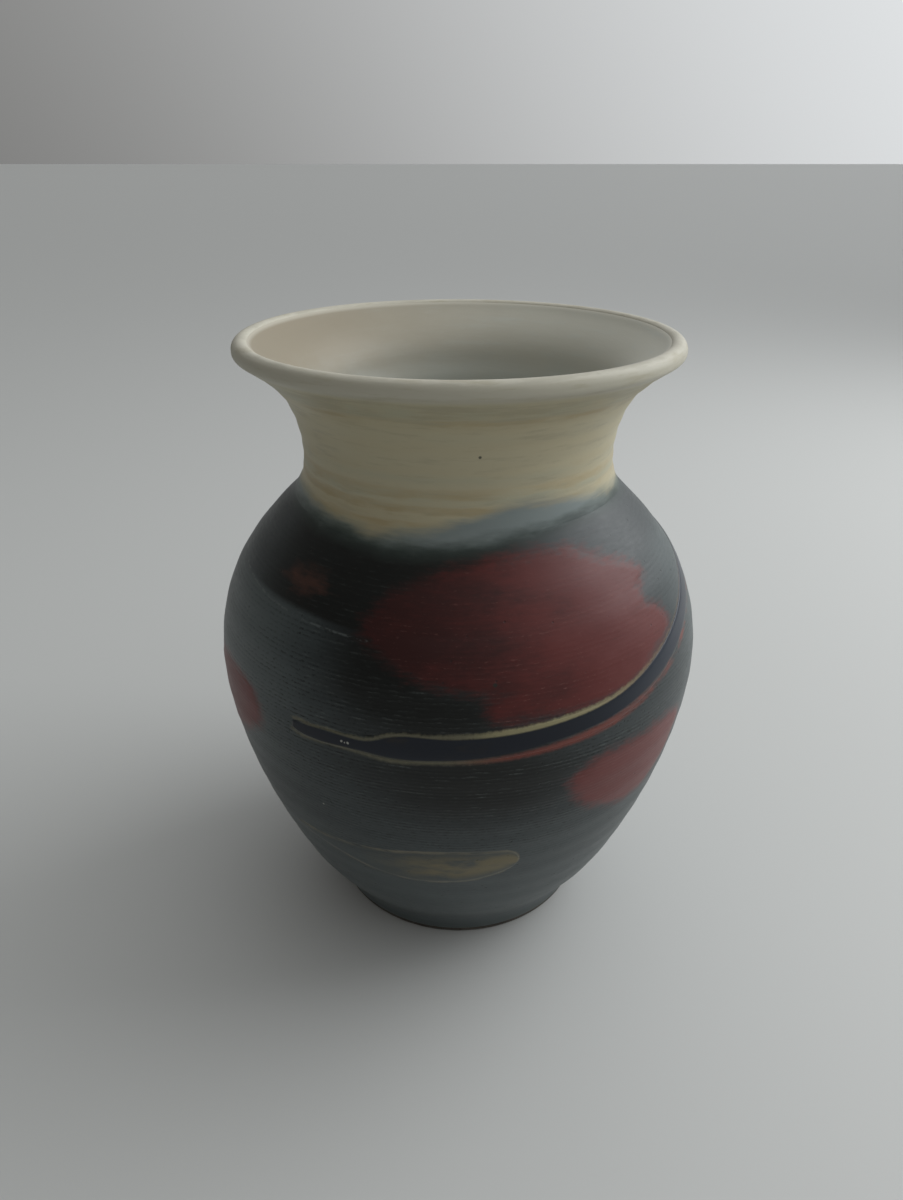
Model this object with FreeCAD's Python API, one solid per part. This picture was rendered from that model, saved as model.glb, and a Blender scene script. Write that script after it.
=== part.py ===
"""Wheel-thrown stoneware vase, built up in the order that a potter builds it.

The clay wall comes first, with its trimmed foot ring and its rolled lip. The glaze coats
lie on it, and the brushed decoration lies on the coats. Each coat and each stroke of the
brush is a solid of its own that meets the one beneath it face to face.

Frame: millimetres, +Z up, origin at the centre of the resting plane, and -Y is the front.
"""

import FreeCAD, Part
import math
import os

Vec = FreeCAD.Vector
Vec2 = FreeCAD.Base.Vector2d

# Overall form, over the glaze
total_height = 180.0
rim_radius = 60.0

# Clay form, under the glaze: the radius at each height of the turned profile
foot_radius = 41.1
heel_flare = 1.6  # how much further out the clay is at the heel than at the foot
heel_height = 7.0
belly_radius = 71.4
belly_height = 91.0
waist_radius = 43.15
waist_drop = 30.8  # from the top of the lip down to the narrowest part of the neck

# Wall and floor
wall_thickness = 5.0
floor_thickness = 7.0
floor_corner_radius = 12.0

# Lip: a rolled band, round over the top
lip_thickness = 4.0
lip_band_height = 0.4
lip_corner_radius = 1.0
lip_underside_angle = 34.0  # degrees above level, where the flare meets the band
lip_inner_angle = 130.0  # degrees round the lip, from its outermost point to the inner wall

# Foot ring
foot_ring_width = 6.0
foot_recess_depth = 4.0
foot_edge_radius = 1.0

# Coats
coat_thickness = 0.5
brush_thickness = 0.25
bare_foot_height = 2.0  # clay left bare above the table
glaze_line_drop = 42.0  # from the top of the lip down to where the neck coat ends
overlap_above = 4.0  # how far the overlap band reaches over the neck coat
overlap_below = 1.5  # and over the belly coat

# Working values
SAMPLES = 90  # points along a profile when it is raised by a coat
WALL_STEPS = 20  # stations down the inside of the wall
FLOOR_STEPS = 6  # and round its corner on to the floor
FULL_TURN = 360.0  # degrees
HALF_TURN = math.pi  # radians: brushwork is drawn away from the swept surface's own seam,
TO_FRONT = 90.0  # and is then turned by these degrees, which bring azimuth 0 to the front

AXIS_POINT = Vec(0, 0, 0)
AXIS_UP = Vec(0, 0, 1)

# Brushwork: azimuths are degrees from the front, towards +X. Heights are per cent of the way up
# from the table to the glaze line, so that the brushwork follows the coat it lies on.
# Strokes as (azimuth, height, half width in millimetres)
long_stroke_stations = [
    (-34.0, 67.3, 1.7),
    (-26.0, 67.5, 2.1),
    (-19.0, 67.9, 2.4),
    (-13.0, 68.5, 3.8),
    (0.0, 68.9, 3.7),
    (18.0, 69.8, 3.4),
    (34.0, 71.4, 3.2),
    (50.0, 75.3, 3.1),
    (66.0, 79.7, 2.9),
    (86.0, 84.9, 2.5),
    (106.0, 89.0, 1.9),
    (120.0, 90.7, 1.3),
]
foot_stroke_stations = [
    (-44.0, 35.9, 1.4),
    (-34.0, 35.9, 3.0),
    (-22.0, 35.2, 5.6),
    (-8.0, 35.7, 7.8),
    (4.0, 36.9, 6.9),
    (12.0, 38.2, 3.9),
]
stroke_tip = 2.5  # degrees that a stroke's rounded end runs past its last station

# Patches as closed outlines of (azimuth, height)
front_patch_outline = [
    (-23.0, 87.0),
    (-16.0, 92.4),
    (-4.0, 96.0),
    (12.0, 97.7),
    (32.0, 97.4),
    (49.0, 94.6),
    (57.0, 88.4),
    (58.0, 81.2),
    (44.0, 75.8),
    (24.0, 73.1),
    (8.0, 72.2),
    (3.0, 76.4),
    (-13.0, 81.9),
]
right_patch_outline = [
    (23.0, 58.0),
    (31.0, 62.3),
    (46.0, 62.3),
    (60.0, 57.2),
    (61.0, 48.6),
    (51.0, 43.8),
    (33.0, 48.9),
]
left_patch_outline = [
    (-46.0, 65.9),
    (-54.0, 72.1),
    (-74.0, 72.8),
    (-94.0, 67.4),
    (-94.0, 59.4),
    (-74.0, 53.6),
    (-54.0, 57.2),
]
shoulder_patch_outline = [
    (-37.0, 91.3),
    (-43.0, 93.5),
    (-50.0, 92.0),
    (-43.0, 89.6),
]


def at(radius, height):
    """A point of the section, in the plane Y = 0."""
    return Vec(radius, 0, height)


def between(start, end, across, up):
    """The station that lies the share across of the way in radius and up of the way in height."""
    return at(
        start.x + (end.x - start.x) * across,
        start.z + (end.z - start.z) * up,
    )


def direction(degrees):
    """The unit direction in the section, counted from outwards towards up."""
    angle = math.radians(degrees)
    return Vec(math.cos(angle), 0, math.sin(angle))


def straight(start, end):
    """A straight edge."""
    return Part.LineSegment(start, end).toShape()


def arc(centre, radius, first_degrees, last_degrees):
    """An arc of the section about a centre, from one direction to another."""
    middle = (first_degrees + last_degrees) / 2
    points = [centre + direction(a) * radius for a in (first_degrees, middle, last_degrees)]
    return Part.Arc(*points).toShape()


def wall_spline():
    """The turned profile of the clay, from the foot's edge to the underside of the lip."""
    foot = at(foot_radius, foot_edge_radius)
    heel = at(foot_radius + heel_flare, heel_height)
    belly = at(belly_radius, belly_height)
    waist = at(waist_radius, total_height - waist_drop)
    lip = lip_centre_low + direction(lip_underside_angle - 90) * lip_corner_radius
    stations = [
        foot,
        heel,
        between(heel, belly, 0.254, 0.131),
        between(heel, belly, 0.517, 0.306),
        between(heel, belly, 0.707, 0.475),
        between(heel, belly, 0.962, 0.820),
        belly,
        between(belly, waist, 0.262, 0.447),
        between(belly, waist, 0.495, 0.603),
        between(belly, waist, 0.732, 0.726),
        between(belly, waist, 0.929, 0.836),
        waist,
        between(waist, lip, 0.125, 0.428),
        between(waist, lip, 0.292, 0.631),
        between(waist, lip, 0.560, 0.804),
        lip,
    ]
    curve = Part.BSplineCurve()
    curve.interpolate(
        Points=stations,
        InitialTangent=Vec(heel_flare, 0, 2 * heel_height).normalize(),
        FinalTangent=direction(lip_underside_angle),
        Scale=False,
    )
    return curve


def raised(curve, distance):
    """The curve moved sideways by a distance, to the right of its run, with the same parameters."""
    first, last = curve.FirstParameter, curve.LastParameter
    values = [first + (last - first) * i / SAMPLES for i in range(SAMPLES + 1)]
    points = []
    for value in values:
        run = curve.tangent(value)[0]
        points.append(curve.value(value) + Vec(run.z, 0, -run.x) * distance)
    moved = Part.BSplineCurve()
    moved.interpolate(Points=points, Parameters=values)
    return moved


def parameter_at_height(curve, height):
    """The parameter where a curve that climbs all the way reaches a height."""
    low, high = curve.FirstParameter, curve.LastParameter
    while high - low > 1e-9 * (curve.LastParameter - curve.FirstParameter):
        middle = (low + high) / 2
        if curve.value(middle).z < height:
            low = middle
        else:
            high = middle
    return low


def lip_edges(grow):
    """The rolled lip, from the flare's underside over the top to the inner wall, grown by a coat."""
    low_radius = lip_corner_radius + grow
    top_radius = lip_thickness / 2 + grow
    band_foot = lip_centre_low + direction(0) * low_radius
    band_top = lip_centre_top + direction(0) * top_radius
    return [
        arc(lip_centre_low, low_radius, lip_underside_angle - 90, 0),
        straight(band_foot, band_top),
        arc(lip_centre_top, top_radius, 0, lip_inner_angle),
    ]


def floor_sweep(side, run):
    """The stations of the inside's easy curve, from the side wall down on to the level floor."""
    end = at(side.x - 2 * floor_corner_radius, floor_height)
    wall_pull = side + run * floor_corner_radius
    floor_pull = end + direction(0) * floor_corner_radius
    sweep = Part.BezierCurve()
    sweep.setPoles([side, wall_pull, floor_pull, end])
    return [sweep.value(i / FLOOR_STEPS) for i in range(1, FLOOR_STEPS + 1)]


def inner_spline():
    """The inside of the clay wall, from the lip down to where the floor runs level."""
    inside = raised(wall, -wall_thickness)
    throat = parameter_at_height(inside, total_height - 0.35 * waist_drop)
    corner = parameter_at_height(inside, floor_height + floor_corner_radius)
    stations = [lip_centre_top + direction(lip_inner_angle) * (lip_thickness / 2)]
    for i in range(WALL_STEPS + 1):
        stations.append(inside.value(throat + (corner - throat) * i / WALL_STEPS))
    stations += floor_sweep(stations[-1], inside.tangent(corner)[0] * -1)
    curve = Part.BSplineCurve()
    curve.interpolate(
        Points=stations,
        InitialTangent=direction(lip_inner_angle + 90),
        FinalTangent=direction(180),
        Scale=False,
    )
    return curve


def revolved(edges):
    """The solid that a closed section sweeps round the axis."""
    wire = Part.Wire(Part.__sortEdges__(edges))
    return Part.Face(wire).revolve(AXIS_POINT, AXIS_UP, FULL_TURN)


def ring(under, over, first, last):
    """The ring between two curves that share their parameters, from one parameter to another."""
    return revolved(
        [
            under.toShape(first, last),
            straight(under.value(last), over.value(last)),
            over.toShape(first, last),
            straight(over.value(first), under.value(first)),
        ]
    )


def clay_body():
    """The thrown wall, floor and trimmed foot ring, as one fired solid."""
    ring_outside = foot_radius - foot_edge_radius
    ring_inside = foot_radius - foot_ring_width
    outer_edge = at(ring_outside, foot_edge_radius)
    inner_edge = at(ring_inside + foot_edge_radius, foot_edge_radius)
    recess_edge = at(ring_inside, foot_recess_depth)
    recess_centre = at(0, foot_recess_depth)
    floor_centre = at(0, floor_height)
    inner_end = inner_wall.value(inner_wall.LastParameter)
    return revolved(
        [
            straight(recess_centre, recess_edge),
            straight(recess_edge, inner_edge - Vec(foot_edge_radius, 0, 0)),
            arc(inner_edge, foot_edge_radius, 180, 270),
            straight(inner_edge - Vec(0, 0, foot_edge_radius), at(ring_outside, 0)),
            arc(outer_edge, foot_edge_radius, -90, 0),
            wall.toShape(),
            *lip_edges(0),
            inner_wall.toShape(),
            straight(inner_end, floor_centre),
            straight(floor_centre, recess_centre),
        ]
    )


def liner_glaze():
    """The coat inside, from the lip's inner edge down over the floor."""
    surface = raised(inner_wall, coat_thickness)
    first, last = inner_wall.FirstParameter, inner_wall.LastParameter
    floor_centre = at(0, floor_height)
    coat_centre = at(0, floor_height + coat_thickness)
    return revolved(
        [
            inner_wall.toShape(),
            straight(inner_wall.value(last), floor_centre),
            straight(floor_centre, coat_centre),
            straight(coat_centre, surface.value(last)),
            surface.toShape(first, last),
            straight(surface.value(first), inner_wall.value(first)),
        ]
    )


def neck_glaze():
    """The coat on the neck, which rolls over the lip to meet the liner."""
    last = wall.LastParameter
    lip_end = lip_centre_top + direction(lip_inner_angle) * (lip_thickness / 2)
    coat_end = lip_end + direction(lip_inner_angle) * coat_thickness
    return revolved(
        [
            wall.toShape(glaze_line, last),
            *lip_edges(0),
            straight(lip_end, coat_end),
            *lip_edges(coat_thickness),
            coat_surface.toShape(glaze_line, last),
            straight(coat_surface.value(glaze_line), wall.value(glaze_line)),
        ]
    )


def belly_glaze():
    """The coat on the belly, from the bare foot up to the glaze line."""
    return ring(wall, coat_surface, coat_foot, glaze_line)


def glaze_overlap_band():
    """The thin band where the neck coat ran over the belly coat."""
    first = parameter_at_height(wall, glaze_height - overlap_below)
    last = parameter_at_height(wall, glaze_height + overlap_above)
    return ring(coat_surface, brush_surface, first, last)


def brushwork_height(share):
    """The height of a point of the brushwork, from its percentage of the glaze line's height."""
    return share / 100 * glaze_height


def brush_mark(outline):
    """A brushed patch on the belly coat, inside an outline of (azimuth, height) points.

    The outline is drawn on the belly coat and again on the brushed layer's outside. The two
    surfaces share their parameters, so the patch's rim stands square to the coat.
    """
    points = []
    for azimuth, height in outline:
        points.append(Vec2(math.radians(azimuth) + HALF_TURN, parameter_at_height(wall, height)))
    edge = Part.Geom2d.BSplineCurve2d()
    edge.buildFromPoles(points, True)
    under = Part.SurfaceOfRevolution(coat_surface, AXIS_POINT, AXIS_UP)
    over = Part.SurfaceOfRevolution(brush_surface, AXIS_POINT, AXIS_UP)
    under_edge = edge.toShape(under)
    over_edge = edge.toShape(over)
    faces = [
        Part.Face(under, Part.Wire([under_edge])),
        Part.Face(over, Part.Wire([over_edge])),
        Part.makeRuledSurface(under_edge, over_edge),
    ]
    shell = Part.Shell(faces)
    shell.sewShape()
    mark = Part.Solid(shell)
    if mark.Volume < 0:
        mark.reverse()
    mark.rotate(AXIS_POINT, AXIS_UP, TO_FRONT)
    return mark


def patch(outline):
    """A daubed patch, from its outline of (azimuth, percentage height)."""
    return brush_mark([(azimuth, brushwork_height(share)) for azimuth, share in outline])


def stroke(stations):
    """A brush stroke: its upper edge out, round its far tip, and its lower edge back."""
    line = [(azimuth, brushwork_height(share), half) for azimuth, share, half in stations]
    upper = [(azimuth, height + half) for azimuth, height, half in line]
    lower = [(azimuth, height - half) for azimuth, height, half in reversed(line)]
    near_tip = (line[0][0] - stroke_tip, line[0][1])
    far_tip = (line[-1][0] + stroke_tip, line[-1][1])
    return brush_mark([near_tip, *upper, far_tip, *lower])


def save(name, solid):
    """Writes a sub-part to parts/ and prints its volume."""
    if not solid.isValid() or solid.Volume <= 0:
        raise ValueError(name + " is not a valid solid")
    solid.exportStep("parts/" + name + ".step")
    print(name, round(solid.Volume, 1), "mm3")


clay_top = total_height - coat_thickness
lip_centre_top = at(
    rim_radius - coat_thickness - lip_thickness / 2,
    clay_top - lip_thickness / 2,
)
lip_centre_low = at(
    rim_radius - coat_thickness - lip_corner_radius,
    lip_centre_top.z - lip_band_height,
)
floor_height = foot_recess_depth + floor_thickness
glaze_height = total_height - glaze_line_drop

wall = wall_spline()
inner_wall = inner_spline()
coat_surface = raised(wall, coat_thickness)
brush_surface = raised(wall, coat_thickness + brush_thickness)
coat_foot = parameter_at_height(wall, bare_foot_height)
glaze_line = parameter_at_height(wall, glaze_height)

os.makedirs("parts", exist_ok=True)
save("stoneware_body", clay_body())
save("liner_glaze", liner_glaze())
save("neck_glaze", neck_glaze())
save("belly_glaze", belly_glaze())
save("glaze_overlap_band", glaze_overlap_band())
save("long_brush_stroke", stroke(long_stroke_stations))
save("foot_brush_stroke", stroke(foot_stroke_stations))
save("red_patch_front", patch(front_patch_outline))
save("red_patch_right", patch(right_patch_outline))
save("red_patch_left", patch(left_patch_outline))
save("red_patch_shoulder", patch(shoulder_patch_outline))
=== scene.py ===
"""A wheel-thrown stoneware vase: the bare clay, three coats of glaze and the brushwork over them.

The clay, each coat and each brushed mark is a closed shell of its own. All of them follow one
outline, the skin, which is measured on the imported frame, and one relief, so that they nest as
fired layers do. Shapes are worked out in millimetres and put into the meshes in metres. A bearing
is an angle round the axis in degrees: 0 is the front, and it grows towards the right.
"""

import logging
import math
from dataclasses import dataclass, replace
from enum import Enum

import bpy
import numpy as np
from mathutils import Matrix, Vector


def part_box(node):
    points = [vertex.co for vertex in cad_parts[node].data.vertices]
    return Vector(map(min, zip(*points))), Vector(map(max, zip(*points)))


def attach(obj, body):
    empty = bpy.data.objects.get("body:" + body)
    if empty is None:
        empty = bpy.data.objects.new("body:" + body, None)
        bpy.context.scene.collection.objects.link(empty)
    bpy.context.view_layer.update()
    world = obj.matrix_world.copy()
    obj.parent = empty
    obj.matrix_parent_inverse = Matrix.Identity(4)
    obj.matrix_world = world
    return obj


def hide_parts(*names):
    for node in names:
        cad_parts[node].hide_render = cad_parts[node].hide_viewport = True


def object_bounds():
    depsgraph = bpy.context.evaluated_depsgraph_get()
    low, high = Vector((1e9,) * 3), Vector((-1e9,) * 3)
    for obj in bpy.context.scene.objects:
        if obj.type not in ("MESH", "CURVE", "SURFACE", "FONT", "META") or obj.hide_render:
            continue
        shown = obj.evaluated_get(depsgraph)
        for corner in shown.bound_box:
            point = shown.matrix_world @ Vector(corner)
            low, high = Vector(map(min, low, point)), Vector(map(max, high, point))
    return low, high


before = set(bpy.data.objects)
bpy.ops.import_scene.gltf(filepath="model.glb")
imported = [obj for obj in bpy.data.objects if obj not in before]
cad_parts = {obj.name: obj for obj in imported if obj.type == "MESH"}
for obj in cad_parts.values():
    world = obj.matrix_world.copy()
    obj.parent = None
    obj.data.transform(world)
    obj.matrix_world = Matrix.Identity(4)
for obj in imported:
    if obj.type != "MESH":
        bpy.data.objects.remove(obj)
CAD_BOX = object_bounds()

MM = 0.001
FULL_TURN = 360.0
BACK_DEPTH = 0.3
COAT_BACK = 0.98
SHEEN = 0.03
SHEEN_ROUGHNESS = 0.4
Array = np.ndarray
Colour = tuple[float, float, float]
Place = tuple[float, float, float]
Stations = tuple[tuple[float, ...], ...]

log = logging.getLogger("vase")


class Slot(Enum):
    """The record's material slots."""

    CLAY = "bare_clay"
    LINER = "liner_coat"
    CREAM = "cream_coat"
    OVERLAP = "overlap_coat"
    SLATE = "slate_coat"
    NAVY = "navy_brushwork"
    OCHRE = "ochre_brushwork"
    RED = "iron_red_brushwork"


# ---------------------------------------------------------------- curves and waves


def rise(value: Array, start: float, end: float) -> Array:
    """From 0 at start to 1 at end: three times the squared share of the way, less twice its cube.

    Args:
        value: Where the curve is read.
        start: Below this the result is 0.
        end: Above this the result is 1.

    Returns:
        The curve's values, from 0 to 1.
    """
    share = np.clip((value - start) / (end - start), 0.0, 1.0)
    return share * share * (3.0 - 2.0 * share)


def bell(value: Array, centre: float, width: float) -> Array:
    """A bell curve, 1 at the centre: e to the minus squared distance from it, in widths."""
    return np.exp(-(((value - centre) / width) ** 2))


def rounded(distance: Array, radius: float) -> Array:
    """A quarter round: the height of a circle of radius 1, by the distance from its rim in radii.

    Args:
        distance: The distance from the edge.
        radius: The distance over which the edge is round.

    Returns:
        0 at the edge, 1 from the radius inwards.
    """
    share = np.clip(distance / radius, 0.0, 1.0)
    return np.sqrt(1.0 - (1.0 - share) ** 2)


def flow(value: Array, places: Array, levels: Array) -> Array:
    """A smooth curve through stations: on each span a cubic with finite-difference slopes.

    Args:
        value: Where the curve is read. Outside the stations it keeps the end levels.
        places: The stations' places, rising.
        levels: The stations' levels.

    Returns:
        The curve's values.
    """
    places = np.asarray(places, float)
    levels = np.asarray(levels, float)
    slopes = np.gradient(levels, places)
    at = np.clip(value, places[0], places[-1])
    span = np.clip(np.searchsorted(places, at) - 1, 0, len(places) - 2)
    width = places[span + 1] - places[span]
    share = (at - places[span]) / width
    rest = 1.0 - share
    return (
        levels[span] * (1.0 + 2.0 * share) * rest**2
        + levels[span + 1] * (3.0 - 2.0 * share) * share**2
        + slopes[span] * width * share * rest**2
        - slopes[span + 1] * width * share**2 * rest
    )


def through(value: Array, stations: Stations, column: int = 1) -> Array:
    """The flow curve through the first column of a table of stations and another of its columns."""
    table = np.array(stations)
    return flow(value, table[:, 0], table[:, column])


def wander(bearing: Array, seed: int, waves: int, falloff: float = 0.8) -> Array:
    """A wave that closes on itself round the vase: a seeded sum of cosines of whole turns.

    Args:
        bearing: Where the wave is read, in degrees.
        seed: Chooses the cosines' sizes and phases.
        waves: How many cosines there are.
        falloff: How fast the quicker cosines get smaller.

    Returns:
        The wave, within -1 and 1.
    """
    draw = np.random.default_rng(seed)
    turns = np.arange(1, waves + 1)
    sizes = draw.uniform(0.5, 1.0, waves) / turns**falloff
    phases = draw.uniform(0.0, 2.0 * math.pi, waves)
    angles = np.radians(bearing)[..., None] * turns + phases
    return (np.cos(angles) * sizes).sum(-1) / sizes.sum()


# ---------------------------------------------------------------- the vase's outline and relief


@dataclass(frozen=True)
class Profile:
    """A curve of radius and height, in millimetres, whose outer side is on its right as it runs."""

    radii: Array
    heights: Array

    def lengths(self) -> Array:
        """The distance of each point along the curve from its start."""
        steps = np.hypot(np.diff(self.radii), np.diff(self.heights))
        return np.concatenate(([0.0], np.cumsum(steps)))

    def normals(self) -> tuple[Array, Array]:
        """The outward normal at each point: the curve's slopes, turned a quarter and scaled to 1.

        Returns:
            Its parts along the radius and along the height.
        """
        across = np.gradient(self.radii)
        up = np.gradient(self.heights)
        size = np.hypot(across, up)
        return up / size, -across / size

    def reversed(self) -> "Profile":
        """The same curve run backwards."""
        return Profile(self.radii[::-1], self.heights[::-1])

    def joined(self, *others: "Profile") -> "Profile":
        """This curve with the others after it, end to start.

        Args:
            others: The curves that follow.

        Returns:
            One curve through all their points.
        """
        curves = (self, *others)
        radii = np.concatenate([curve.radii for curve in curves])
        return Profile(radii, np.concatenate([curve.heights for curve in curves]))

    def evened(self, step: float) -> "Profile":
        """A smooth curve through the points, with its own points spaced evenly.

        Args:
            step: The spacing in millimetres.

        Returns:
            The evened curve.
        """
        places = self.lengths()
        at = np.linspace(0.0, places[-1], int(round(places[-1] / step)) + 1)
        return Profile(flow(at, places, self.radii), flow(at, places, self.heights))


@dataclass(frozen=True)
class Measured:
    """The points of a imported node, as radii, heights and the same two parts of their normals."""

    radii: Array
    heights: Array
    outward: Array
    upward: Array

    @classmethod
    def of(cls, node: str) -> "Measured":
        """Reads a node's mesh.

        Args:
            node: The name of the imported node.

        Returns:
            Its points, measured from the axis.
        """
        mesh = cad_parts[node].data
        points = np.empty(len(mesh.vertices) * 3)
        normals = np.empty(len(mesh.vertices) * 3)
        mesh.vertices.foreach_get("co", points)
        mesh.vertices.foreach_get("normal", normals)
        points = points.reshape(-1, 3) / MM
        normals = normals.reshape(-1, 3)
        radii = np.hypot(points[:, 0], points[:, 1])
        outward = (points[:, :2] * normals[:, :2]).sum(1) / np.maximum(radii, 1e-6)
        return cls(radii, points[:, 2], outward, normals[:, 2])

    def stations(self, places: Array, chosen: Array, step: float) -> Profile:
        """One of the chosen points for each step of the places, in their order.

        Args:
            places: What the points are ordered by.
            chosen: True for the points that belong to the face.
            step: The width of one bin of places.

        Returns:
            The curve through the first point of each bin.
        """
        order = np.flatnonzero(chosen)[np.argsort(places[chosen])]
        bins = np.floor(places[order] / step)
        picked = order[np.flatnonzero(np.diff(bins, prepend=-np.inf))]
        return Profile(self.radii[picked], self.heights[picked])


@dataclass(frozen=True)
class Throwing:
    """The marks that the potter's hands and tools left.

    All are in millimetres but out_of_round, which is a share of the radius, and the ridges'
    strength, which is a share of their depth by height. A groove is a height, a half width and a
    depth.
    """

    ring_pitch: float = 8.3
    ring_depth: float = 0.045
    ridge_pitch: float = 1.15
    ridge_depth: float = 0.017
    neck_pitch: float = 5.4
    neck_depth: float = 0.07
    inside_pitch: float = 9.5
    inside_depth: float = 0.16
    out_of_round: float = 0.28 / 60.0
    lip_drift: float = 0.25
    lip_wave: float = 0.14
    grooves: Stations = (
        (146.4, 0.6, 0.12), (150.3, 0.7, 0.07), (168.6, 0.6, 0.10), (172.4, 0.8, 0.14),
    )
    ridge_swell: float = 6.7
    ridge_strength: Stations = (
        (2, 0.0), (12, 0.12), (40, 0.25), (55, 0.6), (66, 1.0), (108, 1.0), (116, 0.7), (128, 0.5),
        (135, 0.35), (139, 0.0),
    )

    def ridge(self, bearing: Array, height: Array) -> Array:
        """The fine turning ridges: a sine of the height in pitches less the turns, with a swell.

        Args:
            bearing: Bearings in degrees.
            height: Heights in millimetres.

        Returns:
            The wave, within -1 and 1.
        """
        slip = 0.22 * wander(bearing, 11, 9)
        turns = height / self.ridge_pitch - bearing / FULL_TURN + slip
        swells = height / self.ridge_swell + wander(bearing, 12, 6)
        swell = 0.72 + 0.28 * np.sin(2.0 * math.pi * swells)
        return np.sin(2.0 * math.pi * turns) * swell

    def outside(self, bearing: Array, height: Array, ridged: float) -> Array:
        """The relief of the outer face.

        Args:
            bearing: Bearings in degrees.
            height: Heights in millimetres.
            ridged: How much of the fine turning shows, from 0 to 1.

        Returns:
            Slow throwing rings, fine turning ridges, the neck's rings and cut grooves, added up.
        """
        ring_turns = (height + 1.1 * wander(bearing, 21, 5)) / self.ring_pitch - bearing / FULL_TURN
        rings = self.ring_depth * np.sin(2.0 * math.pi * ring_turns)
        rings = rings * rise(height, 6.0, 22.0) * (1.0 - rise(height, 136.0, 146.0))
        strength = self.ridge_depth * through(height, self.ridge_strength)
        ridges = strength * self.ridge(bearing, height)
        neck_turns = (height + 0.6 * wander(bearing, 22, 4)) / self.neck_pitch - bearing / FULL_TURN
        neck = self.neck_depth * np.sin(2.0 * math.pi * neck_turns)
        neck = neck * rise(height, 138.0, 144.0) * (1.0 - rise(height, 170.0, 174.0))
        cuts = sum(depth * bell(height, place, width) for place, width, depth in self.grooves)
        cuts = cuts * (0.7 + 0.3 * wander(bearing, 23, 5))
        return rings + ridges * ridged + neck - cuts

    def inside(self, bearing: Array, height: Array) -> Array:
        """The relief of the inner face: finger rings that climb as they go round, a sine.

        Args:
            bearing: Bearings in degrees.
            height: Heights in millimetres.

        Returns:
            The relief in millimetres.
        """
        turns = (height + 1.4 * wander(bearing, 24, 4)) / self.inside_pitch + bearing / FULL_TURN
        rings = self.inside_depth * np.sin(2.0 * math.pi * turns)
        return rings * (1.0 - rise(height, 160.0, 174.0))


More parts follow.
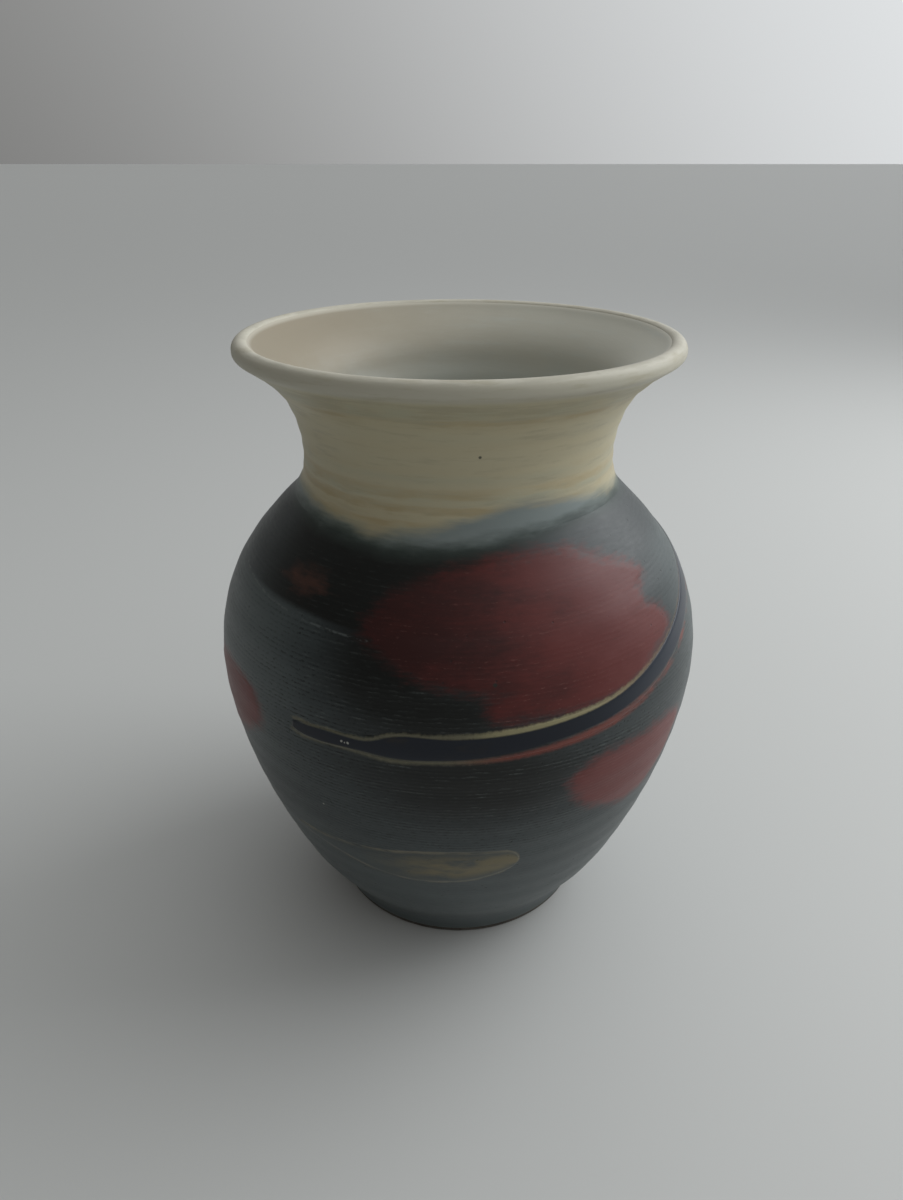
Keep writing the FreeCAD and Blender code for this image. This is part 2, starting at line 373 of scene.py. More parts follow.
@dataclass(frozen=True)
class Form:
    """The fired vase's whole face: up the outside, over the lip, down the inside, over the floor.

    The crest and the liner's start are distances along the skin. The lines are heights, and the
    coat is how thick each glaze lies, all in millimetres.
    """

    skin: Profile
    crest: float
    liner_start: float
    glaze_line: float
    foot_line: float
    coat: float = 0.5
    throwing: Throwing = Throwing()

    @classmethod
    def measured(cls) -> "Form":
        """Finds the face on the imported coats: outside wall, lip, inside wall and floor.

        Returns:
            The form that every piece follows.
        """
        facing = 0.35
        lip_roll = 2.5
        lip_depth = 5.9
        floor_corner = 16.0
        spacing = 0.1
        belly = Measured.of("belly_glaze")
        neck = Measured.of("neck_glaze")
        liner = Measured.of("liner_glaze")
        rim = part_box("neck_glaze")[1]
        lip_low = rim.z / MM - lip_depth
        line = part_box("belly_glaze")[1].z / MM

        is_belly = (belly.outward > facing) & (belly.heights < line - 0.4)
        lower = belly.stations(belly.heights, is_belly, 1.5)
        is_wall = (neck.outward > facing) & (neck.heights > line + 0.5) & (neck.heights < lip_low)
        upper = neck.stations(neck.heights, is_wall, 1.5)

        across = neck.radii - (rim.x / MM - lip_roll)
        above = neck.heights - (rim.z / MM - lip_roll)
        turned = (neck.outward * across + neck.upward * above) / np.hypot(across, above)
        angle = np.degrees(np.arctan2(above, across))
        is_lip = (neck.heights > lip_low + 0.2) & (turned > facing)
        is_lip = is_lip & (angle > -105.0) & (angle < 150.0)
        lip = neck.stations(angle, is_lip, 6.0)

        liner_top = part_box("liner_glaze")[1].z / MM
        is_side = (liner.outward < -facing) & (liner.heights < liner_top - 0.8)
        is_side = is_side & (liner.heights > floor_corner)
        side = liner.stations(liner.heights, is_side, 1.6).reversed()
        is_floor = (liner.upward > 0.5) & (liner.heights < floor_corner - 0.4)
        floor = liner.stations(liner.radii, is_floor, 1.6).reversed()
        middle = Profile(np.array([16.0, 8.0, 0.0]), np.full(3, liner.heights[is_floor].min()))

        skin = lower.joined(upper, lip, side, floor, middle).evened(spacing)
        top = int(np.argmax(skin.heights))
        lengths = skin.lengths()
        start = np.interp(-liner_top, -skin.heights[top:], lengths[top:])
        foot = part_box("belly_glaze")[0].z / MM
        log.info("outline measured: %d points, crest %.1f mm along it", len(lengths), lengths[top])
        return cls(skin, float(lengths[top]), float(start), line, foot)

    def along(self, height: Array) -> Array:
        """The distance along the skin of a height on the outside."""
        outside = self.skin.lengths() <= self.crest
        return np.interp(height, self.skin.heights[outside], self.skin.lengths()[outside])

    def radius(self, height: Array) -> Array:
        """The radius of the outer face at a height."""
        return np.interp(self.along(height), self.skin.lengths(), self.skin.radii)

    def face(self, bearing: Array, along: Array, lift: Array, ridged: float = 1.0) -> Array:
        """Points of the face: the skin's point, moved along its normal by the relief and the lift.

        Args:
            bearing: Bearings in degrees.
            along: Distances along the skin in millimetres.
            lift: How far the points stand out from the face, in millimetres.
            ridged: How much of the fine turning shows, from 0 to 1.

        Returns:
            The points' coordinates, in millimetres, as one more axis of length 3.
        """
        bearing, along, lift = np.broadcast_arrays(bearing, along, lift)
        lengths = self.skin.lengths()
        outward, upward = self.skin.normals()
        radius = np.interp(along, lengths, self.skin.radii)
        height = np.interp(along, lengths, self.skin.heights)
        past = rise(along, self.crest - 3.0, self.crest + 3.0)
        within = rise(along, self.crest + 6.0, self.crest + 20.0)
        relief = self.throwing.outside(bearing, height, ridged) * (1.0 - past)
        relief = relief + self.throwing.inside(bearing, height) * within
        move = relief + lift
        radius = radius + np.interp(along, lengths, outward) * move
        height = height + np.interp(along, lengths, upward) * move
        tall = rise(height, 20.0, 110.0)
        radius = radius * (1.0 + self.throwing.out_of_round * wander(bearing, 31, 3) * tall)
        drift = self.throwing.lip_drift * (1.0 + np.sin(np.radians(bearing)))
        radius = radius + drift * rise(height, 148.0, 178.0)
        wave = self.throwing.lip_wave * wander(bearing, 32, 3)
        height = height + wave * rise(height, 150.0, 178.0)
        return ring_points(bearing, radius, height)


def ring_points(bearing: Array, radius: Array, height: Array) -> Array:
    """Points round the axis: x is the radius times the bearing's sine, y minus it times its cosine.

    Args:
        bearing: Bearings in degrees.
        radius: Distances from the axis.
        height: Heights.

    Returns:
        The points' coordinates as one more axis of length 3.
    """
    angle = np.radians(bearing)
    parts = np.broadcast_arrays(radius * np.sin(angle), -radius * np.cos(angle), height)
    return np.stack(parts, axis=-1)


def bearings(columns: int) -> Array:
    """Evenly spaced bearings round the whole vase, starting at the back."""
    return np.arange(columns) * FULL_TURN / columns - FULL_TURN / 2.0


def edged(start: float, end: float, step: float, edge: float, fine: float) -> Array:
    """Places from start to end, close together near both ends.

    Args:
        start: The first place.
        end: The last place.
        step: The spacing in the middle.
        edge: How far from each end the fine spacing reaches.
        fine: The spacing near the ends.

    Returns:
        The places, rising.
    """
    first = np.arange(start, start + edge, fine)
    middle = np.linspace(start + edge, end - edge, int((end - start - 2.0 * edge) / step) + 1)
    return np.concatenate((first, middle, (start + end - first)[::-1]))


# ---------------------------------------------------------------- the brushwork


@dataclass(frozen=True)
class Patch:
    """A daub of red, given by rows of (height, left bearing, right bearing)."""

    node: str
    rows: Stations
    tone: float
    ochre: float = 0.0

    def depth(self, form: Form, bearing: Array, height: Array) -> Array:
        """How far inside the outline a point is, in millimetres: the nearest of its four sides.

        The distance to a side edge is measured level and divided by the length of the edge's run
        per unit of height, so that it is square to a slanting edge.

        Args:
            form: Where the face lies.
            bearing: Bearings in degrees.
            height: Heights in millimetres.

        Returns:
            The depths, negative outside the outline.
        """
        low, high = self.rows[0][0], self.rows[-1][0]
        radius = form.radius(height)
        step = 0.25

        def side(column: int, sign: float) -> Array:
            """The distance inwards from one side edge.

            Args:
                column: The edge's column in the rows.
                sign: 1 for the left edge, -1 for the right one.

            Returns:
                The distances, negative outside.
            """
            run = through(height + step, self.rows, column)
            run = run - through(height - step, self.rows, column)
            level = np.radians(sign * (bearing - through(height, self.rows, column))) * radius
            return level / np.hypot(1.0, np.radians(run / 2.0 / step) * radius)

        ends = np.minimum(height - low, high - height)
        return np.minimum(np.minimum(side(1, 1.0), side(2, -1.0)), ends)


@dataclass(frozen=True)
class Stroke:
    """A drawn brush stroke, given by stations of (bearing, height, half width)."""

    node: str
    stations: Stations
    tip: float = 2.5

    def course(self, bearing: Array) -> tuple[Array, Array]:
        """The centre height and the half width at each bearing, with round tips.

        Args:
            bearing: Bearings in degrees.

        Returns:
            The heights and the half widths, in millimetres.
        """
        first, last = self.ends()
        ends = np.minimum(bearing - first, last - bearing)
        half = through(bearing, self.stations, 2) * rounded(ends, self.tip * 1.6)
        return through(bearing, self.stations, 1), half

    def ends(self) -> tuple[float, float]:
        """The bearings of the two tips."""
        return self.stations[0][0] - self.tip, self.stations[-1][0] + self.tip


PATCHES = (
    Patch(
        "red_patch_front",
        (
            (100.0, 8, 24), (101.5, 6, 34), (103, 5, 41), (107, 3, 50), (110, -8, 56),
            (114, -16, 57), (117, -20, 55), (120, -23, 51), (122, -23, 52), (125, -21, 56),
            (128, -18, 53), (131, -13, 46), (133.5, -5, 40), (135.5, 6, 34), (136.6, 15, 25),
        ),
        tone=0.4,
    ),
    Patch(
        "red_patch_right",
        (
            (61, 43, 50), (64, 35, 55), (68, 29, 59), (73, 25, 61), (77, 23.5, 62), (81, 23, 62),
            (84, 26, 60), (87, 31, 53),
        ),
        tone=0.95,
    ),
    Patch(
        "red_patch_left",
        (
            (72, -74, -67), (76, -77, -59), (80, -78, -53), (85, -79, -48), (89.5, -79, -46),
            (93.5, -76.5, -47.5), (96.5, -72, -50.5), (98.5, -66, -57),
        ),
        tone=0.9,
    ),
    Patch(
        "red_patch_shoulder",
        ((124.6, -44, -39), (126.2, -48, -35.5), (127.6, -47.5, -37)),
        tone=0.1,
        ochre=0.75,
    ),
)

LONG_STROKE = Stroke(
    "long_brush_stroke",
    (
        (-34, 92.9, 1.9), (-26, 93.1, 2.2), (-19, 93.7, 2.4), (-13, 94.5, 3.8), (0, 95.1, 3.8),
        (18, 96.3, 3.8), (34, 98.3, 3.5), (50, 103.7, 3.2), (66, 110, 3.0), (86, 117.2, 2.5),
        (106, 122.8, 1.9), (120, 125.2, 1.3),
    ),
)

FOOT_STROKE = Stroke(
    "foot_brush_stroke",
    (
        (-44, 49.6, 1.4), (-34, 49.6, 3), (-22, 48.6, 5.6), (-8, 49.3, 7.8), (4, 50.5, 7.2),
        (12, 51.9, 5.2),
    ),
)


@dataclass(frozen=True)
class Brushwork:
    """Where each coat and mark lies, as numbers that every outer piece carries at its points."""

    form: Form
    drawn_line: float = 138.3
    dark_edge: Stations = (
        (-180, 138.4), (-120, 138.1), (-80, 137.8), (-50, 137.0), (-30, 136.1), (-15, 135.6),
        (0, 136.4), (15, 137.7), (30, 138.9), (50, 139.2), (80, 138.8), (120, 138.3), (180, 138.6),
    )
    cream_edge: Stations = (
        (-180, 140.6), (-120, 140.8), (-80, 141.0), (-55, 140.8), (-38, 139.5), (-22, 139.4),
        (-10, 140.4), (0, 142.2), (12, 144.8), (22, 145.9), (35, 145.3), (50, 143.6), (70, 141.8),
        (90, 141.0), (130, 140.2), (180, 140.6),
    )
    navy: Stations = (
        (-36.3, 93.0, 1.2), (-30, 92.9, 1.75), (-24, 93.2, 1.6), (-18, 93.3, 1.6),
        (-13, 94.2, 2.9), (0, 94.7, 2.8), (10, 95.7, 2.45), (20, 97.0, 2.2), (34, 99.2, 2.2),
        (50, 104.3, 2.4), (66, 110.5, 2.5), (86, 117.3, 2.1), (106, 122.8, 1.5), (122, 125.2, 0.5),
    )
    upper_line: Stations = (
        (-37.2, 93.6, 0.3), (-35.8, 94.9, 0.34), (-32, 94.6, 0.36), (-28, 95.2, 0.3),
        (-22, 95.0, 0.32), (-18, 95.4, 0.36), (-13.5, 97.4, 0.42), (-5, 97.9, 0.5),
        (5, 98.4, 0.62), (18, 99.5, 0.72), (34, 101.7, 0.6), (50, 106.9, 0.42), (66, 113.1, 0.3),
        (90, 120, 0.2), (120, 126.5, 0.1),
    )
    lower_line: Stations = (
        (-37.2, 92.6, 0.3), (-35.8, 91.3, 0.34), (-31, 90.9, 0.36), (-26, 91.4, 0.34),
        (-20, 91.1, 0.38), (-14, 90.3, 0.42), (-5, 90.9, 0.42), (5, 91.4, 0.5), (18, 92.8, 0.8),
        (34, 95.4, 1.2), (50, 100.2, 1.1), (66, 106.6, 0.7), (90, 114.9, 0.3), (120, 123.6, 0.2),
    )
    hairline: Stations = ((-95, 122.0), (-75, 121.2), (-45, 119.2), (-15, 118.0), (0, 117.6))
    # Lighter towards the foot: partly a haze in the glaze and partly a painted reflection of the
    # floor.
    cloud_and_painted_sheen: Stations = ((0, 0.7), (25, 0.65), (45, 0.5), (62, 0.3), (75, 0.05), (140, 0.0))
    front_tone: Stations = ((-25, 0.0), (-10, 0.08), (5, 0.22), (20, 0.42), (40, 0.7), (60, 0.85))

    def scaled(self, height: Array) -> Array:
        """Heights on the vase as heights on the drawing of the brushwork."""
        return height * self.drawn_line / self.form.glaze_line

    def dark_height(self, bearing: Array) -> Array:
        """The height at which the dark coat goes under the cream one."""
        return self.edge(self.dark_edge, bearing, 41)

    def cream_height(self, bearing: Array) -> Array:
        """The height from which the cream coat shows its full colour."""
        return self.edge(self.cream_edge, bearing, 42)

    def edge(self, stations: Stations, bearing: Array, seed: int) -> Array:
        """The height of a coat's edge, with the unevenness of poured glaze.

        Args:
            stations: The edge's drawn heights by bearing.
            bearing: Bearings in degrees.
            seed: Chooses the unevenness.

        Returns:
            The heights on the vase in millimetres.
        """
        drawn = through(bearing, stations) + 0.22 * wander(bearing, seed, 26, 0.5)
        return drawn * self.form.glaze_line / self.drawn_line

    def line_depth(self, stations: Stations, bearing: Array, height: Array) -> Array:
        """How far inside a drawn line a point is: its half width less the distance across it.

        Args:
            stations: The line's bearings, heights and half widths.
            bearing: Bearings in degrees.
            height: Heights in millimetres.

        Returns:
            The depths in millimetres, negative outside the line.
        """
        step = 0.5
        rise_per_step = through(bearing + step, stations, 1) - through(bearing - step, stations, 1)
        run_per_step = np.radians(2.0 * step) * self.form.radius(height)
        square = 1.0 / np.hypot(1.0, rise_per_step / run_per_step)
        across = np.abs(height - through(bearing, stations, 1)) * square
        ends = np.minimum(bearing - stations[0][0], stations[-1][0] - bearing) * run_per_step
        return np.minimum(through(bearing, stations, 2) - across, ends)

    def night(self, bearing: Array, height: Array) -> Array:
        """Where the dark coat lies black: on the left shoulder and round and below the large patch.

        Args:
            bearing: Bearings in degrees.
            height: Heights in millimetres.

        Returns:
            How black it is, from 0 to 1: the places' bell curves and rises, weighted and added.
        """
        shoulder = 0.85 * rise(bearing, -75.0, -45.0) * (1.0 - rise(bearing, 2.0, 22.0))
        shoulder = shoulder * rise(height, 119.5, 121.5)
        beside = 0.9 * bell(bearing, -19.0, 13.0) * bell(height, 116.0, 11.0)
        below = 0.8 * bell(bearing, -6.0, 19.0) * bell(height, 104.0, 7.5)
        middle = bell(bearing, 3.0, 27.0) * bell(height, 83.0, 15.0)
        rim = 0.45 * rise(bearing, -60.0, -30.0) * (1.0 - rise(bearing, 10.0, 40.0))
        rim = rim * rise(height, 133.0, 137.0)
        behind = rise(np.abs(bearing), 85.0, 120.0)
        drift = 0.5 + 0.5 * wander(bearing, 62, 4)
        high = 0.55 * drift * rise(height, 112.0, 134.0)
        low = 0.5 * (1.0 - drift) * bell(height, 84.0, 16.0)
        middle = middle + behind * (high + low)
        return np.clip(shoulder + beside + below + middle + rim, 0.0, 1.0)

    def fields(self, bearing: Array, height: Array) -> dict[str, Array]:
        """Every number that the outer glazes are coloured by.

        Args:
            bearing: Bearings in degrees.
            height: Heights in millimetres.

        Returns:
            The fields by name. Depths and distances over an edge are in millimetres, positive
            inside the mark or coat. The ridge is the turning wave from -1 to 1. The others run
            from 0 to 1.
        """
        drawn = self.scaled(height)
        depths = np.stack([patch.depth(self.form, bearing, drawn) for patch in PATCHES])
        nearest = np.argmax(depths, axis=0)
        tones = np.array([patch.tone for patch in PATCHES])
        front = through(bearing, self.front_tone)
        foot_centre, foot_half = FOOT_STROKE.course(bearing)
        foot_across = (drawn - foot_centre) / np.maximum(foot_half, 0.05)
        facing = 1.0 - 0.5 * rise(np.abs(bearing), 30.0, 60.0)
        # Painted sheen: the slate is lightened on the left and right limbs, where the glaze catches
        # the light from the sides.
        left_painted_sheen = 0.95 * bell(bearing, -57.0, 24.0) * (1.0 - rise(drawn, 119.0, 122.5))
        right_painted_sheen = 0.9 * bell(bearing, 78.0, 20.0) * (1.0 - rise(drawn, 124.0, 134.0))
        limb_painted_sheen = left_painted_sheen * rise(drawn, 60.0, 85.0) + right_painted_sheen * rise(drawn, 55.0, 80.0)
        hair = drawn - through(bearing, self.hairline) - 0.25 * wander(bearing, 61, 18, 0.4)
        hair = 0.3 - np.abs(hair)
        return {
            "red_depth": depths.max(axis=0),
            "red_tone": np.where(nearest == 0, front, tones[nearest]),
            "red_ochre": np.array([patch.ochre for patch in PATCHES])[nearest],
            "navy_depth": self.line_depth(self.navy, bearing, drawn),
            "upper_depth": self.line_depth(self.upper_line, bearing, drawn),
            "lower_depth": self.line_depth(self.lower_line, bearing, drawn),
            "warmth": rise(bearing, -4.0, 12.0),
            "far_side": rise(bearing, 20.0, 60.0),
            "foot_depth": np.where(foot_half > 0.05, (1.0 - np.abs(foot_across)) * foot_half, -3.0),
            "foot_fill": rise(bearing, -27.0, -2.0) * (1.0 - rise(np.abs(foot_across), 0.3, 1.0)),
            "foot_rim": rise(bearing, -52.0, -38.0) * (1.0 - rise(bearing, 30.0, 60.0)),
            "hair_depth": np.where((bearing > -95.0) & (bearing < -20.0), hair, -1.0),
            "night": self.night(bearing, drawn),
            "cloud_and_painted_sheen": through(drawn, self.cloud_and_painted_sheen) + limb_painted_sheen,
            "ridge": self.form.throwing.ridge(bearing, height),
            "ridged": through(height, self.form.throwing.ridge_strength) * facing,
            "over_dark": height - self.dark_height(bearing),
            "over_cream": height - self.cream_height(bearing),
            "band_width": self.cream_height(bearing) - self.dark_height(bearing),
        }


# ---------------------------------------------------------------- meshes


@dataclass
class Shell:
    """A closed surface made of a stack of closed rings of points, in millimetres.

    A face goes from a point to the next on its ring, to the same on the next ring and back. The
    stack is either closed on itself or has a fan of triangles at each end.
    """

    rings: Array
    looped: bool

    def points(self) -> Array:
        """Every ring's points in turn, and at capped ends the middle of the first and last ring.

        Returns:
            The points, in millimetres.
        """
        flat = self.rings.reshape(-1, 3)
        if self.looped:
            return flat
        return np.concatenate((flat, [self.rings[0].mean(0), self.rings[-1].mean(0)]))

    def faces(self) -> list[list[int]]:
        """The quads between the rings, and the fans at capped ends.

        Returns:
            Each face as the places of its points.
        """
        rows, columns = self.rings.shape[:2]
        index = np.arange(rows * columns).reshape(rows, columns)
        upper = np.roll(index, -1, 0) if self.looped else index[1:]
        lower = index if self.looped else index[:-1]
        corners = (lower, np.roll(lower, -1, 1), np.roll(upper, -1, 1), upper)
        quads = np.stack(corners, axis=-1).reshape(-1, 4)
        if self.looped:
            return quads.tolist()
        first, last = rows * columns, rows * columns + 1
        start = np.stack((np.full(columns, first), np.roll(index[0], -1), index[0]), axis=-1)
        end = np.stack((np.full(columns, last), index[-1], np.roll(index[-1], -1)), axis=-1)
        return quads.tolist() + start.tolist() + end.tolist()

    def piece(
        self,
        name: str,
        material: bpy.types.Material,
        node: str,
        brushwork: "Brushwork | None" = None,
    ) -> bpy.types.Object:
        """Makes the object, dresses it and ties it to the frame.

        Args:
            name: The piece's name.
            material: Its finish.
            node: The CAD node that it stands for.
            brushwork: What its finish is coloured by, for the outer pieces.

        Returns:
            The new object.
        """
        mesh = bpy.data.meshes.new(name)
        mesh.from_pydata((self.points() * MM).tolist(), [], self.faces())
        mesh.polygons.foreach_set("use_smooth", np.ones(len(mesh.polygons), bool))
        mesh.materials.append(material)
        mesh.update()
        made = bpy.data.objects.new(name, mesh)
        bpy.context.scene.collection.objects.link(made)
        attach(made, "root")
        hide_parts(node)
        if brushwork is not None:
            carry(made, brushwork)
        size = (len(mesh.vertices), len(mesh.polygons))
        log.info("%s: %d points, %d faces, stands for %s", name, *size, node)
        return made


def carry(made: bpy.types.Object, brushwork: Brushwork) -> None:
    """Writes the brushwork's fields on a piece's points.

    Args:
        made: The piece.
        brushwork: What the fields come from.
    """
    count = len(made.data.vertices)
    points = np.empty(count * 3)
    made.data.vertices.foreach_get("co", points)
    points = points.reshape(-1, 3) / MM
    bearing = np.degrees(np.arctan2(points[:, 0], -points[:, 1]))
    for name, values in brushwork.fields(bearing, points[:, 2]).items():
        attribute = made.data.attributes.new(name, "FLOAT", "POINT")
        attribute.data.foreach_set("value", values.astype(np.float32))


# ---------------------------------------------------------------- shader maths


class Value:
    """A number that varies over a surface, so that shader maths can be written as plain sums."""

    def __init__(self, bench: "Bench", socket: bpy.types.NodeSocket) -> None:
        """Wraps a socket of a bench."""
        self.bench = bench
        self.socket = socket

    def _math(self, operation: str, *others: "Value | float") -> "Value":
        """One Math node with this value first."""
        return self.bench.math(operation, self, *others)

    def __add__(self, other: "Value | float") -> "Value":
        """The sum."""
        return self._math("ADD", other)

    def __sub__(self, other: "Value | float") -> "Value":
        """The difference."""
        return self._math("SUBTRACT", other)

    def __mul__(self, other: "Value | float") -> "Value":
        """The product."""
        return self._math("MULTIPLY", other)

    def __radd__(self, other: float) -> "Value":
        """The sum, with the number first."""
        return self.bench.math("ADD", other, self)

    def __rsub__(self, other: float) -> "Value":
        """The difference, with the number first."""
        return self.bench.math("SUBTRACT", other, self)

    def __rmul__(self, other: float) -> "Value":
        """The product, with the number first."""
        return self.bench.math("MULTIPLY", other, self)

    def swing(self, size: float) -> "Value":
        """Noise about its middle: less a half, times the size."""
        return (self - 0.5) * size

    def smooth(self, low: float, high: float) -> "Value":
        """0 below low, 1 above high and a smooth step between.

        Args:
            low: Where the step starts.
            high: Where it ends.

        Returns:
            The step.
        """
        settings = {"interpolation_type": "SMOOTHSTEP", "clamp": True}
        inputs = {"Value": self, "From Min": low, "From Max": high}
        node = self.bench.node("ShaderNodeMapRange", settings, inputs)
        return Value(self.bench, node.outputs["Result"])


Paint = bpy.types.NodeSocket | Colour


class Bench:
    """A node tree, and the few ways in which its nodes are made."""

    def __init__(self, tree: bpy.types.NodeTree) -> None:
        """Clears a tree to work on it.

        Args:
            tree: The node tree of a material or of the world.
        """
        self.tree = tree
        self.tree.nodes.clear()
        self.shared: dict[str, Value] = {}

    @classmethod
    def material(cls, name: str) -> tuple["Bench", bpy.types.Material]:
        """Makes a new material.

        Args:
            name: The material's name.

        Returns:
            The bench for its nodes, and the material.
        """
        made = bpy.data.materials.new(name)
        made.use_nodes = True
        return cls(made.node_tree), made

    def node(
        self, kind: str, settings: dict[str, object], inputs: dict[str | int, object]
    ) -> bpy.types.Node:
        """Makes a node.

        Args:
            kind: The node's type.
            settings: Its settings. For a ramp, stops is a list of places and colours.
            inputs: Numbers, colours, values or sockets, by the input's place, identifier or name.

        Returns:
            The node.
        """
        made = self.tree.nodes.new(kind)
        for key, setting in settings.items():
            if key == "stops":
                self._set_stops(made.color_ramp, setting)
            else:
                setattr(made, key, setting)
        for key, given in inputs.items():
            socket = self._input(made, key)
            if isinstance(given, Value):
                given = given.socket
            if isinstance(given, bpy.types.NodeSocket):
                self.tree.links.new(given, socket)
            elif socket.type == "RGBA":
                socket.default_value = (*given, 1.0)
            else:
                socket.default_value = given
        return made

    @staticmethod
    def _input(made: bpy.types.Node, key: str | int) -> bpy.types.NodeSocket:
        """Finds an input by its place, its identifier or its name.

        Args:
            made: The node.
            key: Which input.

        Returns:
            The input.
        """
        if isinstance(key, int):
            return made.inputs[key]
        same = [socket for socket in made.inputs if socket.identifier == key]
        return same[0] if same else made.inputs[key]

    @staticmethod
    def _set_stops(ramp: bpy.types.ColorRamp, stops: list[tuple[float, Colour]]) -> None:
        """Gives a ramp its stops.

        Args:
            ramp: The ramp, which starts with two stops.
            stops: Places from 0 to 1 and their colours.
        """
        while len(ramp.elements) < len(stops):
            ramp.elements.new(1.0)
        for element, (place, colour) in zip(ramp.elements, stops):
            element.position = place
            element.color = (*colour, 1.0)

    def math(self, operation: str, *terms: Value | float) -> Value:
        """One Math node."""
        made = self.node("ShaderNodeMath", {"operation": operation}, dict(enumerate(terms)))
        return Value(self, made.outputs[0])

    def field(self, name: str) -> Value:
        """A field that the piece carries at its points.

        Args:
            name: The field's name.

        Returns:
            Its value.
        """
        if name not in self.shared:
            made = self.node("ShaderNodeAttribute", {"attribute_name": name}, {})
            self.shared[name] = Value(self, made.outputs["Fac"])
        return self.shared[name]

    def place(self) -> bpy.types.NodeSocket:
        """Object coordinates."""
        return self.node("ShaderNodeTexCoord", {}, {}).outputs["Object"]

    def height(self) -> Value:
        """The height in millimetres."""
        return self.axis("Z")

    def axis(self, name: str) -> Value:
        """One of the object's own coordinates in millimetres.

        Args:
            name: X, Y or Z.

        Returns:
            The coordinate.
        """
        if name not in self.shared:
            split = self.node("ShaderNodeSeparateXYZ", {}, {0: self.place()})
            self.shared[name] = Value(self, split.outputs[name]) * (1.0 / MM)
        return self.shared[name]

    def grain(
        self, size: float, flat: float = 1.0, detail: float = 3.0, shift: float = 0.0
    ) -> Value:
        """Noise on the object's coordinates, from 0 to 1 and mostly near a half.

        Args:
            size: The size of its blotches in millimetres.
            flat: How many times wider than tall the blotches are.
            detail: How many finer layers it has.
            shift: Moves the pattern, so that two of a size differ.

        Returns:
            The noise.
        """
        wide = size * flat * MM
        scale = (1.0 / wide, 1.0 / wide, 1.0 / (size * MM))
        move = {"Vector": self.place(), "Location": (shift,) * 3, "Scale": scale}
        moved = self.node("ShaderNodeMapping", {}, move)
        inputs = {"Vector": moved.outputs[0], "Scale": 1.0, "Detail": detail, "Roughness": 0.6}
        made = self.node("ShaderNodeTexNoise", {"noise_dimensions": "3D"}, inputs)
        return Value(self, made.outputs["Fac"])

    def dots(self, size: float, share: float) -> Value:
        """Scattered round specks: 1 in their middles.

        Args:
            size: The mean distance between specks in millimetres.
            share: The size of a speck in shares of that distance.

        Returns:
            The mask of the specks.
        """
        inputs = {"Vector": self.place(), "Scale": 1.0 / (size * MM), "Randomness": 1.0}
        made = self.node("ShaderNodeTexVoronoi", {"feature": "F1"}, inputs)
        return 1.0 - Value(self, made.outputs["Distance"]).smooth(share * 0.5, share)

    def spot(self, middle: Place, size: float) -> Value:
        """One small round mark on the object.

        Args:
            middle: Its middle in metres.
            size: Its radius in millimetres.

        Returns:
            The mask of the mark, soft at its rim.
        """
        inputs = {0: self.place(), 1: middle}
        made = self.node("ShaderNodeVectorMath", {"operation": "DISTANCE"}, inputs)
        away = Value(self, made.outputs["Value"]) * (1.0 / MM)
        away = away + self.grain(0.8, 1.6, 2.0, 91.0).swing(size)
        return 1.0 - away.smooth(size * 0.6, size * 1.2)

    def mixed(self, mask: Value | float, under: Paint, over: Paint) -> bpy.types.NodeSocket:
        """A colour between two, by a mask.

        Args:
            mask: Where the second one holds.
            under: The first.
            over: The second.

        Returns:
            The colour.
        """
        inputs = {"Factor_Float": mask, "A_Color": under, "B_Color": over}
        made = self.node("ShaderNodeMix", {"data_type": "RGBA"}, inputs)
        return next(socket for socket in made.outputs if socket.identifier == "Result_Color")

    def ramp(self, factor: Value, stops: list[tuple[float, Colour]]) -> bpy.types.NodeSocket:
        """A colour read from a ramp."""
        return self.node("ShaderNodeValToRGB", {"stops": stops}, {0: factor}).outputs["Color"]


@dataclass(frozen=True)
class Surface:
    """What a glaze looks like so far. Its fine relief is in millimetres."""

    bench: Bench
    colour: Paint
    roughness: Value | float
    gloss: Value | float
    relief: Value | float

    def covered(
        self,
        mask: Value,
        colour: Paint,
        roughness: Value | float,
        gloss: Value | float = 0.0,
        relief: Value | float = 0.0,
    ) -> "Surface":
        """This surface with another finish over it where the mask is 1.

        Args:
            mask: Where the new finish lies.
            colour: Its colour.
            roughness: Its roughness.
            gloss: Its clear gloss.
            relief: Its fine relief, which takes the place of the old one.

        Returns:
            The two finishes together.
        """
        return replace(
            self,
            colour=self.bench.mixed(mask, self.colour, colour),
            roughness=self._between(mask, self.roughness, roughness),
            gloss=self._between(mask, self.gloss, gloss),
            relief=self._between(mask, self.relief, relief),
        )

    def tinted(self, mask: Value, colour: Paint) -> "Surface":
        """This surface with only its colour changed where the mask is 1."""
        return replace(self, colour=self.bench.mixed(mask, self.colour, colour))

    @staticmethod
    def _between(mask: Value, under: Value | float, over: Value | float) -> Value | float:
        """A number between two, by a mask.

        Args:
            mask: Where the second one holds.
            under: The first.
            over: The second.

        Returns:
            The number.
        """
        if isinstance(under, float) and isinstance(over, float):
            return under + mask * (over - under)
        return (1.0 - mask) * under + mask * over

    def applied(self, specular: float, gloss_roughness: float) -> None:
        """Ends the tree with the shader.

        Args:
            specular: The shader's specular level, the same all over.
            gloss_roughness: The roughness of the clear gloss, the same all over.
        """
        raised = {"Strength": 1.0, "Distance": MM, "Height": self.relief}
        bump = self.bench.node("ShaderNodeBump", {}, raised)
        inputs = {
            "Base Color": self.colour,
            "Roughness": self.roughness,
            "Coat Weight": self.gloss,
            "Coat Roughness": gloss_roughness,
            "Specular IOR Level": specular,
            "Sheen Weight": SHEEN,
            "Sheen Roughness": SHEEN_ROUGHNESS,
            "Normal": bump.outputs[0],
        }
        shader = self.bench.node("ShaderNodeBsdfPrincipled", {}, inputs)
        self.bench.node("ShaderNodeOutputMaterial", {}, {"Surface": shader.outputs[0]})


# ---------------------------------------------------------------- finishes


